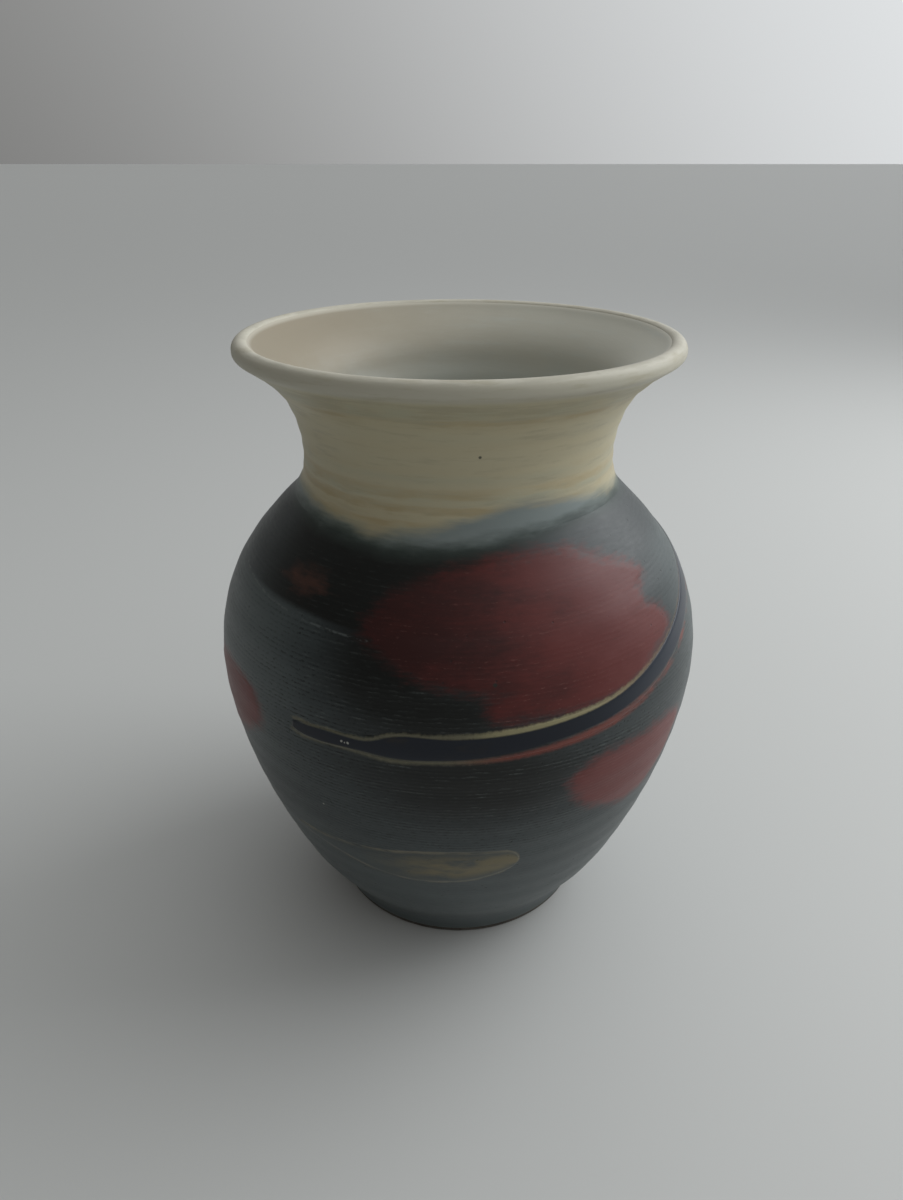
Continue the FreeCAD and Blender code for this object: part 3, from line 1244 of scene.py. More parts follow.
@dataclass(frozen=True)
class SlateFinish:
    """The dark coat: slate grey, black where it is thick, with the turning in broken lines and a
    pale cloud that is partly glaze haze and partly painted sheen.
    """

    slate: Colour = (0.038, 0.047, 0.049)
    black: Colour = (0.006, 0.007, 0.006)
    line: Colour = (0.125, 0.142, 0.134)
    groove: Colour = (0.006, 0.008, 0.007)
    # The pale cloud: a haze in the glaze, with painted sheen on the limbs and a painted reflection
    # of the floor near the foot.
    cloud: Colour = (0.108, 0.130, 0.130)
    roughness: float = 0.42

    def surface(self, bench: Bench) -> Surface:
        """The whole dark coat.

        Args:
            bench: Where its nodes are made.

        Returns:
            The surface.
        """
        blotch = bench.grain(11.0, 1.8, 5.0)
        night = (bench.field("night") + blotch.swing(0.6)).smooth(0.0, 0.95)
        colour = bench.mixed(night, self.slate, self.black)
        # The pale cloud goes on by the field that holds the haze and the painted sheen.
        drift = bench.grain(14.0, 2.5, 3.0, 3.0)
        cloud = (bench.field("cloud_and_painted_sheen") + drift.swing(0.5)).smooth(0.0, 1.0)
        colour = bench.mixed(cloud * 0.7, colour, self.cloud)
        streak = bench.grain(0.55, 6.0, 4.0, 7.0)
        fine = bench.grain(0.5, 2.2, 3.0, 1.0)
        ridge = bench.field("ridge")
        ridged = bench.field("ridged")
        light = (ridge * 0.40 + streak.swing(2.4)).smooth(0.10, 0.90) * ridged
        dark = (fine.swing(2.4) - ridge * 0.45).smooth(0.10, 0.7) * ridged
        light = light * (0.60 - 0.28 * night) * fine.smooth(0.30, 0.62)
        colour = bench.mixed(light, colour, self.line)
        colour = bench.mixed(dark * 0.8, colour, self.groove)
        pits = bench.dots(2.6, 0.16) * bench.grain(6.0, 1.0, 2.0, 9.0).smooth(0.45, 0.6)
        colour = bench.mixed(pits * 0.8, colour, self.groove)
        rough = streak.swing(0.25) + self.roughness
        relief = streak * 0.035 * ridged + fine * 0.012 - pits * 0.05
        return Surface(bench, colour, rough, 0.0, relief)


@dataclass(frozen=True)
class HairlineFinish:
    """A fine pale line where one pour of the dark coat ended over another."""

    pale: Colour = (0.170, 0.190, 0.185)

    def over(self, surface: Surface) -> Surface:
        """The surface with the broken line on it.

        Args:
            surface: The glaze below.

        Returns:
            The two together.
        """
        bench = surface.bench
        broken = bench.grain(0.8, 3.0, 2.0, 5.0).smooth(0.42, 0.6)
        mask = bench.field("hair_depth").smooth(-0.1, 0.25) * broken
        return surface.tinted(mask * 0.45, self.pale)


@dataclass(frozen=True)
class RedFinish:
    """Iron red brushed into the dark coat: nearly black where thin, dusty rose where thick."""

    deep: Colour = (0.040, 0.008, 0.007)
    red: Colour = (0.118, 0.018, 0.015)
    rose: Colour = (0.165, 0.042, 0.038)
    ochre: Colour = (0.085, 0.040, 0.026)
    pit: Colour = (0.020, 0.008, 0.008)
    line: Colour = (0.260, 0.110, 0.095)
    feather: float = 2.7
    inset: float = 1.0

    def over(self, surface: Surface) -> Surface:
        """The surface with the red daubs on it.

        Args:
            surface: The glaze below.

        Returns:
            The two together.
        """
        bench = surface.bench
        streak = bench.grain(0.6, 6.0, 4.0, 21.0)
        ragged = bench.grain(2.0, 1.8, 5.0, 22.0).swing(5.0) + streak.swing(4.0)
        inset = self.inset * (1.0 - 1.5 * bench.field("red_ochre"))
        mask = (bench.field("red_depth") - inset + ragged).smooth(-self.feather, self.feather)
        cloud = bench.grain(7.0, 2.0, 4.0, 23.0)
        tone = bench.field("red_tone") + cloud.swing(0.8) + streak.swing(0.3)
        colour = bench.mixed(tone.smooth(0.0, 0.55), self.deep, self.red)
        colour = bench.mixed(tone.smooth(0.45, 1.1), colour, self.rose)
        colour = bench.mixed(bench.field("red_ochre") * 0.9, colour, self.ochre)
        pits = bench.dots(3.1, 0.12) * bench.grain(5.0, 1.0, 2.0, 24.0).smooth(0.46, 0.62)
        colour = bench.mixed(pits * 0.6, colour, self.pit)
        fine = bench.grain(0.5, 3.0, 3.0, 25.0)
        lines = (bench.field("ridge") * 0.4 + fine.swing(2.4)).smooth(0.3, 0.95)
        colour = bench.mixed(lines * bench.field("ridged") * 0.45, colour, self.line)
        grooves = (bench.field("ridge") * -0.5 + streak.swing(2.0)).smooth(0.2, 0.9)
        colour = bench.mixed(grooves * 0.35, colour, self.deep)
        relief = streak * 0.03 - pits * 0.05
        return surface.covered(mask * 0.94, colour, streak.swing(0.2) + 0.44, 0.0, relief)


@dataclass(frozen=True)
class FootStrokeFinish:
    """The low ochre stroke: a thin pale outline, filled with olive ochre towards the right."""

    fill: Colour = (0.200, 0.165, 0.085)
    rim: Colour = (0.290, 0.250, 0.165)

    def over(self, surface: Surface) -> Surface:
        """The surface with the low stroke on it.

        Args:
            surface: The glaze below.

        Returns:
            The two together.
        """
        bench = surface.bench
        cloud = bench.grain(4.0, 2.5, 3.0, 31.0)
        depth = bench.field("foot_depth") + cloud.swing(1.4)
        inside = depth.smooth(-0.2, 1.6)
        fill = inside * bench.field("foot_fill") * cloud.smooth(0.25, 0.6)
        surface = surface.covered(fill * 0.8, self.fill, 0.42)
        rim = depth.smooth(-0.6, 0.15) * (1.0 - depth.smooth(0.2, 1.5)) * bench.field("foot_rim")
        broken = bench.grain(3.0, 3.0, 2.0, 32.0).smooth(0.3, 0.6)
        return surface.tinted(rim * broken * 0.45, self.rim)


@dataclass(frozen=True)
class LongStrokeFinish:
    """The long stroke: glossy blue-black between an ochre edge above and an ember line below."""

    navy: Colour = (0.0020, 0.0050, 0.0130)
    # The painted sheen of the navy core on the far right side.
    navy_painted_sheen: Colour = (0.0120, 0.0190, 0.0340)
    brown: Colour = (0.012, 0.010, 0.009)
    ochre: Colour = (0.300, 0.270, 0.150)
    olive: Colour = (0.185, 0.172, 0.112)
    ember: Colour = (0.240, 0.056, 0.038)
    rust: Colour = (0.200, 0.110, 0.075)

    def over(self, surface: Surface) -> Surface:
        """The surface with the long stroke on it.

        Args:
            surface: The glaze below.

        Returns:
            The two together.
        """
        bench = surface.bench
        fringe = bench.grain(1.1, 1.0, 3.0, 41.0).swing(1.1)
        warmth = bench.field("warmth")
        shade = bench.grain(5.0, 2.0, 3.0, 42.0)
        upper = (bench.field("upper_depth") + fringe * 1.2).smooth(-0.55, 0.45)
        warm = (warmth * 0.9 + shade.swing(1.2)).smooth(0.1, 0.8)
        upper_colour = bench.mixed(warm, self.olive, self.ochre)
        far_side = bench.field("far_side")
        upper_colour = bench.mixed(far_side * 0.7, upper_colour, self.rust)
        upper = upper * (0.7 + warmth * 0.25 - far_side * 0.4)
        surface = surface.covered(upper, upper_colour, 0.40)
        lower = (bench.field("lower_depth") + fringe * 0.8).smooth(-0.9, 0.7)
        broken = 1.0 - far_side * bench.grain(3.0, 2.0, 2.0, 43.0).smooth(0.35, 0.6)
        lower_colour = bench.mixed(warmth, self.olive, self.ember)
        surface = surface.covered(lower * broken * 0.75, lower_colour, 0.42)
        core = (bench.field("navy_depth") + fringe * 0.45).smooth(-0.25, 0.35)
        brown = shade.smooth(0.5, 0.7) * (1.0 - warmth) * 0.8
        core_colour = bench.mixed(brown, self.navy, self.brown)
        # Painted sheen: the core turns a lighter blue on the far right side, where the glaze
        # catches the light.
        core_colour = bench.mixed(far_side, core_colour, self.navy_painted_sheen)
        return surface.covered(core, core_colour, 0.33, 0.06, shade * 0.02)


@dataclass(frozen=True)
class OverlapFinish:
    """Blue-grey glass where the cream coat ran over the dark one."""

    blue: Colour = (0.225, 0.262, 0.258)
    green: Colour = (0.130, 0.155, 0.125)
    teal: Colour = (0.045, 0.062, 0.056)

    def over(self, surface: Surface) -> Surface:
        """The surface with the band on it.

        Args:
            surface: The glaze below.

        Returns:
            The two together.
        """
        bench = surface.bench
        cloud = bench.grain(2.5, 4.0, 3.0, 51.0)
        above = bench.field("over_dark") + cloud.swing(1.4)
        surface = surface.covered(above.smooth(-2.8, 1.2) * 0.9, self.teal, 0.38)
        wide = (bench.field("band_width") + cloud.swing(3.0)).smooth(1.8, 5.2)
        colour = bench.mixed(wide, self.green, self.blue)
        band = (above + cloud.swing(2.0)).smooth(-0.6, 3.4)
        return surface.covered(band, colour, 0.40, 0.0, cloud * 0.02)


@dataclass(frozen=True)
class CreamFinish:
    """The cream coat of the neck and the lip, banded with ochre where the rings catch it, with
    painted shade under the lip and a painted highlight along the crest.
    """

    plain: Colour = (0.520, 0.470, 0.320)
    ochre: Colour = (0.400, 0.305, 0.160)
    green: Colour = (0.430, 0.430, 0.320)
    # shade: the colour of the painted shade under the lip, and of the neck's fine streaks.
    shade: Colour = (0.400, 0.365, 0.255)
    lip: Colour = (0.500, 0.475, 0.385)
    # pale: the colour of the painted highlight along the lip's crest.
    pale: Colour = (0.700, 0.670, 0.570)
    bands: Stations = (
        (0.00, 0.40, 0.9), (0.05, 0.50, 0.4), (0.08, 1.00, 0.1), (0.105, 0.10, 0.1),
        (0.13, 0.15, 0.0), (0.155, 1.00, 0.0), (0.175, 1.00, 0.1), (0.195, 0.10, 0.3),
        (0.215, 0.00, 1.0), (0.24, 0.60, 0.5), (0.27, 0.75, 0.0), (0.30, 0.05, 0.1),
        (0.34, 0.00, 0.5), (0.38, 0.20, 0.0), (0.46, 0.00, 0.1), (0.54, 0.15, 0.0),
        (0.60, 0.05, 0.2), (0.66, 0.15, 0.0), (0.695, 0.30, 0.0), (0.715, 1.00, 0.0),
        (0.735, 0.90, 0.3), (0.755, 0.10, 0.9), (0.80, 0.30, 0.8), (0.84, 0.00, 0.4),
        (1.00, 0.0, 0.0),
    )

    def over(self, surface: Surface, low: float, high: float) -> Surface:
        """The surface with the cream coat on it.

        Args:
            surface: The glaze below.
            low: The height of the coat's edge.
            high: The height of the lip's crest.

        Returns:
            The two together.
        """
        bench = surface.bench
        streak = bench.grain(1.3, 9.0, 4.0, 61.0)
        cloud = bench.grain(7.0, 2.5, 3.0, 62.0)
        share = bench.height() - low + streak.swing(3.4) + cloud.swing(3.0)
        share = share * (1.0 / (high - low))
        stops = [(place, (ochre, green, 0.0)) for place, ochre, green in self.bands]
        bands = bench.ramp(share, stops)
        parts = bench.node("ShaderNodeSeparateColor", {}, {0: bands})
        ochre = Value(bench, parts.outputs["Red"]) * cloud.smooth(0.25, 0.75) * 0.75
        green = Value(bench, parts.outputs["Green"]) * (1.0 - cloud.smooth(0.35, 0.75)) * 0.85
        colour = bench.mixed(ochre, self.plain, self.ochre)
        colour = bench.mixed(green, colour, self.green)
        # Painted shade: a darker band on the neck under the overhanging lip, broken by streaks.
        under_lip_painted_shade = bench.height().smooth(high - 14.0, high - 9.0)
        under_lip_painted_shade = under_lip_painted_shade * (1.0 - bench.height().smooth(high - 6.5, high - 4.5))
        colour = bench.mixed(under_lip_painted_shade * (0.15 + 0.6 * streak.smooth(0.4, 0.6)), colour, self.shade)
        colour = bench.mixed(bench.height().smooth(high - 6.0, high - 4.2), colour, self.lip)
        # Painted highlight: a pale line along the lip's crest.
        crest_painted_highlight = bench.height().smooth(high - 1.2, high - 0.3)
        colour = bench.mixed(crest_painted_highlight * 0.5 * streak.smooth(0.35, 0.6), colour, self.pale)
        colour = bench.mixed(streak.smooth(0.5, 0.72) * 0.55, colour, self.shade)
        mask = (bench.field("over_cream") + cloud.swing(4.0) + streak.swing(3.0)).smooth(-1.8, 2.2)
        relief = streak * 0.05 + bench.grain(0.7, 1.5, 2.0, 63.0) * 0.02
        return surface.covered(mask, colour, cloud.swing(0.2) + 0.50, 0.0, relief)


@dataclass(frozen=True)
class LinerFinish:
    """The coat inside: grey-cream by the lip, cooler and darker with depth, with painted shade on
    its left side and painted light on its right.
    """

    # left is the colour with painted shade, on the left side; top is the colour with painted light,
    # on the right side.
    left: Colour = (0.290, 0.245, 0.170)
    top: Colour = (0.580, 0.570, 0.485)
    deep: Colour = (0.530, 0.575, 0.540)
    # pale: the colour of the painted highlight along the lip's crest.
    pale: Colour = (0.700, 0.670, 0.570)

    def made(self, high: float) -> bpy.types.Material:
        """The liner's material.

        Args:
            high: The height of the lip's crest.

        Returns:
            The material.
        """
        bench, material = Bench.material("liner_coat")
        streak = bench.grain(1.6, 8.0, 4.0, 71.0)
        cloud = bench.grain(10.0, 2.0, 3.0, 72.0)
        depth = bench.height() + cloud.swing(14.0)
        # Painted shade and light: the coat is darker and warmer on the left side and lighter on the
        # right.
        beside = (bench.axis("X") + cloud.swing(20.0)).smooth(-58.0, 50.0)
        colour = bench.mixed(beside, self.left, self.top)
        colour = bench.mixed(1.0 - depth.smooth(high - 34.0, high - 8.0), colour, self.deep)
        # Painted highlight: a pale line along the lip's crest.
        colour = bench.mixed(bench.height().smooth(high - 1.6, high - 0.7) * 0.5, colour, self.pale)
        colour = bench.mixed(streak.smooth(0.5, 0.75) * beside * 0.3, colour, self.deep)
        surface = Surface(bench, colour, cloud.swing(0.2) + 0.5, 0.0, streak * 0.05)
        surface.applied(specular=0.45, gloss_roughness=0.1)
        return material


@dataclass(frozen=True)
class ClayFinish:
    """Bare fired clay, sandy, with dark iron specks."""

    clay: Colour = (0.098, 0.088, 0.072)
    dark: Colour = (0.058, 0.051, 0.043)
    speck: Colour = (0.030, 0.022, 0.018)

    def made(self) -> bpy.types.Material:
        """The clay's material.

        Returns:
            The material.
        """
        bench, material = Bench.material("bare_clay")
        sand = bench.grain(0.5, 1.0, 4.0, 81.0)
        cloud = bench.grain(12.0, 1.5, 3.0, 82.0)
        colour = bench.mixed(cloud.smooth(0.35, 0.7), self.clay, self.dark)
        colour = bench.mixed(bench.dots(2.4, 0.2) * 0.85, colour, self.speck)
        surface = Surface(bench, colour, sand.swing(0.2) + 0.82, 0.0, sand * 0.10)
        surface.applied(specular=0.3, gloss_roughness=0.3)
        return material


@dataclass(frozen=True)
class StrayMarks:
    """Small marks of the kiln and of use, each given by bearing, height and radius."""

    pale: Colour = (0.430, 0.430, 0.390)
    dark: Colour = (0.022, 0.026, 0.022)
    pale_marks: Stations = (
        (-23.7, 93.2, 0.36), (-23.0, 93.0, 0.26), (-22.3, 93.1, 0.38), (-31.3, 67.8, 0.3),
    )
    dark_marks: Stations = ((6.5, 159.0, 0.45), (7.4, 110.4, 0.55))

    def over(self, surface: Surface, form: Form) -> Surface:
        """The surface with the marks on it.

        Args:
            surface: The finished glazes.
            form: Where the face lies.

        Returns:
            The two together.
        """
        for colour, marks in ((self.pale, self.pale_marks), (self.dark, self.dark_marks)):
            for bearing, height, size in marks:
                radius = form.radius(np.array(height))
                middle = ring_points(np.array(bearing), radius, np.array(height)) * MM
                spot = surface.bench.spot(tuple(map(float, middle)), size)
                surface = surface.tinted(spot * 0.85, colour)
        return surface


@dataclass(frozen=True)
class GlazeFinish:
    """The outer glazes as they were laid: dark coat, brushwork, overlap and cream coat."""

    slate: SlateFinish = SlateFinish()
    hairline: HairlineFinish = HairlineFinish()
    red: RedFinish = RedFinish()
    foot_stroke: FootStrokeFinish = FootStrokeFinish()
    long_stroke: LongStrokeFinish = LongStrokeFinish()
    overlap: OverlapFinish = OverlapFinish()
    cream: CreamFinish = CreamFinish()
    stray: StrayMarks = StrayMarks()

    def made(self, form: Form) -> bpy.types.Material:
        """The one material of all the outer pieces, so that the colours run on between them.

        Args:
            form: The vase's form, for the heights of the glaze line and the lip.

        Returns:
            The material.
        """
        bench, material = Bench.material("fired_glazes")
        surface = self.slate.surface(bench)
        surface = self.hairline.over(surface)
        surface = self.red.over(surface)
        surface = self.foot_stroke.over(surface)
        surface = self.long_stroke.over(surface)
        surface = self.overlap.over(surface)
        surface = self.cream.over(surface, form.glaze_line, float(form.skin.heights.max()))
        surface = self.stray.over(surface, form)
        surface.applied(specular=0.32, gloss_roughness=0.16)
        return material


# ---------------------------------------------------------------- the pieces


@dataclass
class ClayBody:
    """The thrown and trimmed clay: its recessed foot, its wall, its lip and its floor."""

    form: Form
    material: bpy.types.Material
    columns: int = 200
    rows: int = 300
    gap: float = 0.6
    ring_inner: float = 36.1
    ring_slope: float = 1.5
    ring_edge: float = 1.0
    recess: float = 4.0
    trim_pitch: float = 2.1
    trim_depth: float = 0.07

    def foot(self) -> Profile:
        """The foot's section from the axis out to the wall: recess, ring and rounded edges.

        Returns:
            The section.
        """
        corner = np.radians(np.linspace(0.0, 90.0, 9))
        out, up = self.ring_edge * np.sin(corner), self.ring_edge * np.cos(corner)
        outer = float(self.form.skin.radii[0]) - self.form.coat
        start = self.ring_inner - self.ring_slope
        recess = edged(self.gap, start, step=0.35, edge=0.4, fine=0.2)
        ceiling = Profile(recess, np.full_like(recess, self.recess))
        hollow = Profile(start + out, self.recess - self.ring_edge + up)
        inner = Profile(self.ring_inner + 0.5 - up, self.ring_edge - out)
        edge = Profile(outer - self.ring_edge + out, self.ring_edge - up)
        flat = np.linspace(inner.radii[-1] + 0.3, edge.radii[0] - 0.3, 8)
        return ceiling.joined(hollow, inner, Profile(flat, np.zeros_like(flat)), edge)

    def build(self) -> bpy.types.Object:
        """Makes the clay: rings of the foot with its trimming spiral, then of the wall.

        Returns:
            The new object.
        """
        bearing = bearings(self.columns)[None, :]
        foot = self.foot()
        radius = foot.radii[:, None]
        spiral = np.sin(2.0 * math.pi * (radius / self.trim_pitch - bearing / FULL_TURN))
        start = self.ring_inner - self.ring_slope
        faded = 1.0 - rise(radius, self.ring_inner - 2.0 * self.ring_slope, start)
        trimmed = self.trim_depth * spiral * faded
        under = ring_points(bearing, radius, foot.heights[:, None] - trimmed)
        length = float(self.form.skin.lengths()[-1])
        along = np.linspace(self.gap, length - self.gap, self.rows)[:, None]
        wall = self.form.face(bearing, along, -self.form.coat, 0.0)
        shell = Shell(np.concatenate((under, wall)), looped=False)
        return shell.piece("clay_body", self.material, "stoneware_body")


@dataclass
class LinerCoat:
    """The coat poured inside, from under the lip's inner edge over the wall and the floor."""

    form: Form
    material: bpy.types.Material
    columns: int = 200
    back_rows: int = 120
    step: float = 0.62
    fine: float = 0.1
    tuck: float = 1.2
    edge: float = 0.6
    sink: float = 0.22
    gap: float = 0.5

    def build(self) -> bpy.types.Object:
        """Makes the coat: its back up from the floor's middle, its round edge and its face down.

        Returns:
            The new object.
        """
        bearing = bearings(self.columns)[None, :]
        length = float(self.form.skin.lengths()[-1])
        start = self.form.liner_start - self.tuck
        face = edged(start, length - self.gap, self.step, self.edge, self.fine)[:, None]
        thick = self.form.coat * COAT_BACK
        sunk = rounded(face - start, self.edge) - 1.0
        tucked = self.sink * (1.0 - rise(face, start, self.form.liner_start + self.edge))
        front = self.form.face(bearing, face, thick * sunk - tucked)
        behind = np.linspace(length - self.gap, start + self.fine, self.back_rows)[:, None]
        back = self.form.face(bearing, behind, -thick)
        shell = Shell(np.concatenate((back, front)), looped=False)
        return shell.piece("liner_coat", self.material, "liner_glaze")


@dataclass
class BellyCoat:
    """The dark coat, from its bead above the bare foot up to its edge under the cream coat."""

    form: Form
    brushwork: Brushwork
    material: bpy.types.Material
    columns: int = 160
    back_rows: int = 36
    step: float = 0.27
    fine: float = 0.12
    edge: float = 0.8
    bead: float = 0.10
    dip: float = 0.34
    tuck: float = 3.0

    def build(self) -> bpy.types.Object:
        """Makes the coat: its face up the wall and its back down again, with round edges.

        Returns:
            The new object.
        """
        bearing = bearings(self.columns)[None, :]
        low = float(self.form.along(np.array(self.form.foot_line))) + 0.02
        high = float(self.form.along(np.array(self.form.glaze_line + self.tuck)))
        along = edged(low, high, self.step, self.edge, self.fine)[:, None]
        height = np.interp(along, self.form.skin.lengths(), self.form.skin.heights)
        dark_edge = self.brushwork.dark_height(bearing)
        sunk = rounded(along - low, self.edge) - 1.0
        bead = self.bead * bell(height, self.form.foot_line + 1.6, 1.2)
        bead = bead * (0.6 + 0.4 * wander(bearing, 51, 12))
        dip = self.dip * rise(height - dark_edge, 0.4, 2.5)
        front = self.form.face(bearing, along, self.form.coat * sunk + bead - dip)
        behind = np.linspace(high - 0.05, low + 0.05, self.back_rows)[:, None]
        back = self.form.face(bearing, behind, -self.form.coat * COAT_BACK, 0.0)
        shell = Shell(np.concatenate((front, back)), looped=True)
        return shell.piece("belly_coat", self.material, "belly_glaze", self.brushwork)


@dataclass
class NeckCoat:
    """The cream coat: from its running edge on the shoulder up the neck and over the lip."""

    form: Form
    brushwork: Brushwork
    material: bpy.types.Material
    columns: int = 240
    back_rows: int = 60
    bead: float = 0.05
    sink: float = 0.16
    tuck: float = 0.5
    inner_edge: float = 0.7
    inner_sink: float = 0.36

    def lift(self, above: Array) -> Array:
        """How far the coat stands out, by the distance above its edge: sunk, swollen, settled."""
        return self.sink * (rise(above, -0.6, 1.4) - 1.0) + self.bead * bell(above, 2.2, 1.8)

    def build(self) -> bpy.types.Object:
        """Makes the coat: its face from the uneven edge over the lip, and its back down again.

        Returns:
            The new object.
        """
        bearing = bearings(self.columns)[None, :]
        low = self.form.along(self.brushwork.dark_height(bearing)) - self.tuck
        high = self.form.liner_start + 0.5
        share = edged(0.0, 1.0, step=0.0055, edge=0.02, fine=0.0025)[:, None]
        along = low + share * (high - low)
        above = along - low
        inner = self.inner_sink * (rounded(high - along, self.inner_edge) - 1.0)
        front = self.form.face(bearing, along, self.lift(above) + inner)
        behind = np.linspace(0.998, 0.002, self.back_rows)[:, None]
        back = self.form.face(bearing, low + behind * (high - low), -self.form.coat * 0.97, 0.0)
        shell = Shell(np.concatenate((front, back)), looped=True)
        return shell.piece("neck_coat", self.material, "neck_glaze", self.brushwork)


@dataclass
class OverlapCoat:
    """The lens of run glaze between the dark coat and the cream one."""

    form: Form
    brushwork: Brushwork
    neck: NeckCoat
    material: bpy.types.Material
    columns: int = 240
    rows: int = 36
    back_rows: int = 10
    swell: float = 0.06
    sink: float = 0.04
    back: float = 0.34

    def build(self) -> bpy.types.Object:
        """Makes the lens: a face that swells over the neck coat's own, and a back inside it.

        Returns:
            The new object.
        """
        bearing = bearings(self.columns)[None, :]
        edge = self.form.along(self.brushwork.dark_height(bearing))
        low = edge + 0.25
        high = self.form.along(self.brushwork.cream_height(bearing)) + 1.0
        share = np.linspace(0.0, 1.0, self.rows)[:, None]
        along = low + share * (high - low)
        dome = 4.0 * share * (1.0 - share)
        over_neck = self.neck.lift(along - edge + self.neck.tuck) - self.sink
        front = self.form.face(bearing, along, over_neck + (self.swell + self.sink) * dome**0.5)
        behind = np.linspace(0.97, 0.03, self.back_rows)[:, None]
        back = self.form.face(bearing, low + behind * (high - low), -self.back)
        shell = Shell(np.concatenate((front, back)), looped=True)
        node = "glaze_overlap_band"
        return shell.piece("overlap_coat", self.material, node, self.brushwork)


@dataclass
class RedPatches:
    """The four iron-red daubs, each a thin pad with a feathered edge."""

    form: Form
    brushwork: Brushwork
    material: bpy.types.Material
    step: float = 0.27
    column: float = 0.9
    lift: float = 0.11
    sink: float = 0.05
    feather: float = 3.5
    ridged: float = 0.8

    def pad(self, patch: Patch) -> bpy.types.Object:
        """Makes one daub: level rings, each across its face from left to right and back behind it.

        Args:
            patch: The daub's outline.

        Returns:
            The new object.
        """
        scale = self.form.glaze_line / self.brushwork.drawn_line
        low, high = patch.rows[0][0] * scale, patch.rows[-1][0] * scale
        height = np.linspace(low, high, int((high - low) / self.step) + 1)[:, None]
        left = through(height / scale, patch.rows, 1)
        right = through(height / scale, patch.rows, 2)
        across = max(12, int((right - left).max() / self.column))
        share = np.linspace(0.0, 1.0, across)[None, :]
        bearing = left + share * (right - left)
        depth = patch.depth(self.form, bearing, height / scale)
        raised = (self.lift + self.sink) * rise(depth, 0.0, self.feather) - self.sink
        front = self.form.face(bearing, self.form.along(height), raised, self.ridged)
        behind = left + share[:, ::-3] * (right - left)
        back = self.form.face(behind, self.form.along(height), -BACK_DEPTH, 0.0)
        shell = Shell(np.concatenate((front, back), axis=1), looped=False)
        name = patch.node.replace("patch", "daub")
        return shell.piece(name, self.material, patch.node, self.brushwork)

    def build(self) -> list[bpy.types.Object]:
        """Makes every daub."""
        return [self.pad(patch) for patch in PATCHES]


@dataclass
class BrushStroke:
    """A raised stroke of glaze, drawn round the vase."""

    form: Form
    brushwork: Brushwork
    material: bpy.types.Material
    stroke: Stroke
    slot: Slot
    lift: float
    across: int = 30
    behind: int = 9
    step: float = 0.35
    sink: float = 0.07
    shoulder: float = 0.45
    ridged: float = 0.15

    def build(self) -> bpy.types.Object:
        """Makes the stroke: rings over its face from the upper edge down, and back behind it.

        Returns:
            The new object.
        """
        scale = self.form.glaze_line / self.brushwork.drawn_line
        first, last = self.stroke.ends()
        bearing = edged(first + 0.02, last - 0.02, self.step, self.stroke.tip, fine=0.12)[:, None]
        centre, half = self.stroke.course(bearing)
        share = np.linspace(1.0, -1.0, self.across)[None, :]
        height = (centre + share * half) * scale
        dome = rounded(1.0 - np.abs(share), self.shoulder) * rise(half, 0.0, 1.2)
        raised = (self.lift + self.sink) * dome - self.sink
        front = self.form.face(bearing, self.form.along(height), raised, self.ridged)
        behind = centre + np.linspace(-0.95, 0.95, self.behind)[None, :] * half
        back = self.form.face(bearing, self.form.along(behind * scale), -BACK_DEPTH, 0.0)
        shell = Shell(np.concatenate((front, back), axis=1), looped=False)
        name = self.stroke.node.replace("_brush", "")
        return shell.piece(name, self.material, self.stroke.node, self.brushwork)


# ---------------------------------------------------------------- the studio


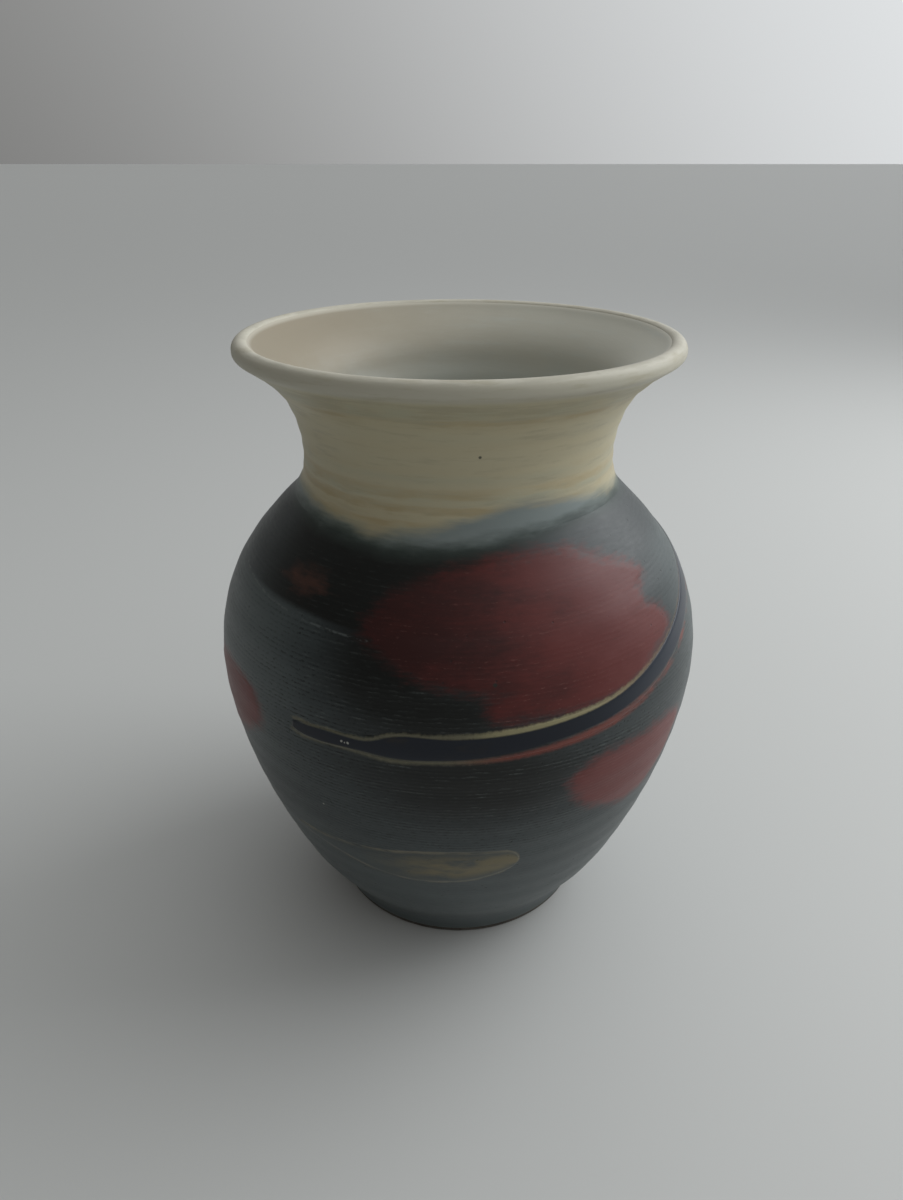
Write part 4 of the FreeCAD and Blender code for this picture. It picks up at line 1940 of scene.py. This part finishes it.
@dataclass
class Studio:
    """The pale floor, the soft light and the camera.

    The floor, the window and its size are in metres, its power in watts, and the camera's place in
    millimetres. The light's strength is dimmest, plus even times the brightness, plus steep times
    its cube.
    """

    floor_size: float = 30.0
    floor_colour: Colour = (0.600, 0.605, 0.590)
    bright_side: Place = (0.80, 0.35, 0.49)
    warm: Colour = (1.0, 0.985, 0.95)
    cool: Colour = (0.95, 0.98, 1.0)
    dimmest: float = 0.135
    even: float = 0.28
    steep: float = 0.52
    window: Place = (0.70, 0.22, 0.62)
    window_size: float = 0.7
    window_power: float = 4.5
    window_colour: Colour = (0.96, 0.98, 1.0)
    window_gloss: float = 0.4
    eye_distance: float = 240.3
    eye_height: float = 221.8
    tilt: float = 27.14
    lens: float = 25.98
    sensor: float = 36.0
    sideways: float = -0.0057

    def floor(self) -> None:
        """Lays a plain pale floor under the vase."""
        half = self.floor_size
        low = float(CAD_BOX[0][2])
        mesh = bpy.data.meshes.new("floor")
        corners = [(-half, -half, low), (half, -half, low), (half, half, low), (-half, half, low)]
        mesh.from_pydata(corners, [], [(0, 1, 2, 3)])
        bench, material = Bench.material("floor")
        inputs = {"Base Color": self.floor_colour, "Roughness": 0.5, "Specular IOR Level": 0.25}
        shader = bench.node("ShaderNodeBsdfPrincipled", {}, inputs)
        bench.node("ShaderNodeOutputMaterial", {}, {"Surface": shader.outputs[0]})
        mesh.materials.append(material)
        made = bpy.data.objects.new("floor", mesh)
        bpy.context.scene.collection.objects.link(made)

    def sky(self) -> None:
        """Lights the scene softly, brighter from behind on the right than from the front left."""
        world = bpy.data.worlds.new("soft_light")
        world.use_nodes = True
        bench = Bench(world.node_tree)
        towards = bench.node("ShaderNodeTexCoord", {}, {}).outputs["Generated"]
        inputs = {0: towards, 1: self.bright_side}
        facing = bench.node("ShaderNodeVectorMath", {"operation": "DOT_PRODUCT"}, inputs)
        bright = Value(bench, facing.outputs["Value"]).smooth(-0.6, 1.0)
        strength = bright * self.even + bright * bright * bright * self.steep + self.dimmest
        colour = bench.mixed(bright, self.warm, self.cool)
        back = bench.node("ShaderNodeBackground", {}, {"Color": colour, "Strength": strength})
        bench.node("ShaderNodeOutputWorld", {}, {"Surface": back.outputs[0]})
        bpy.context.scene.world = world

    def lamp(self) -> None:
        """Hangs one soft square lamp, like a window, that faces the middle of the vase."""
        light = bpy.data.lights.new("window", "AREA")
        light.shape = "SQUARE"
        light.size = self.window_size
        light.energy = self.window_power
        light.color = self.window_colour
        light.specular_factor = self.window_gloss
        made = bpy.data.objects.new("window", light)
        made.location = self.window
        middle = np.array([0.0, 0.0, float(CAD_BOX[1][2]) / 2.0])
        aim = middle - np.array(self.window)
        made.rotation_euler = (
            math.pi / 2.0 + math.atan2(aim[2], math.hypot(aim[0], aim[1])),
            0.0,
            math.atan2(aim[1], aim[0]) - math.pi / 2.0,
        )
        bpy.context.scene.collection.objects.link(made)

    def camera(self) -> None:
        """Sets the camera in front of the vase and above its rim, looking down at it."""
        data = bpy.data.cameras.new("camera")
        data.lens = self.lens
        data.sensor_width = self.sensor
        data.shift_x = self.sideways
        data.dof.use_dof = False
        data.clip_start = 0.005
        made = bpy.data.objects.new("camera", data)
        made.location = (0.0, -self.eye_distance * MM, self.eye_height * MM)
        made.rotation_euler = (math.radians(90.0 - self.tilt), 0.0, 0.0)
        bpy.context.scene.collection.objects.link(made)
        bpy.context.scene.camera = made

    def build(self) -> None:
        """Sets up the floor, the light and the camera."""
        bpy.context.scene.view_settings.view_transform = "Standard"
        self.floor()
        self.sky()
        self.lamp()
        self.camera()


def main() -> None:
    """Builds the vase from the clay outwards, then the studio round it."""
    logging.basicConfig(level=logging.INFO, format="%(name)s: %(message)s")
    form = Form.measured()
    brushwork = Brushwork(form)
    glazes = GlazeFinish().made(form)
    liner = LinerFinish().made(float(form.skin.heights.max()))
    ClayBody(form, ClayFinish().made()).build()
    LinerCoat(form, liner).build()
    BellyCoat(form, brushwork, glazes).build()
    RedPatches(form, brushwork, glazes).build()
    BrushStroke(form, brushwork, glazes, LONG_STROKE, Slot.NAVY, lift=0.24).build()
    BrushStroke(form, brushwork, glazes, FOOT_STROKE, Slot.OCHRE, lift=0.12).build()
    neck = NeckCoat(form, brushwork, glazes)
    neck.build()
    OverlapCoat(form, brushwork, neck, glazes).build()
    Studio().build()


if __name__ == "__main__":
    main()
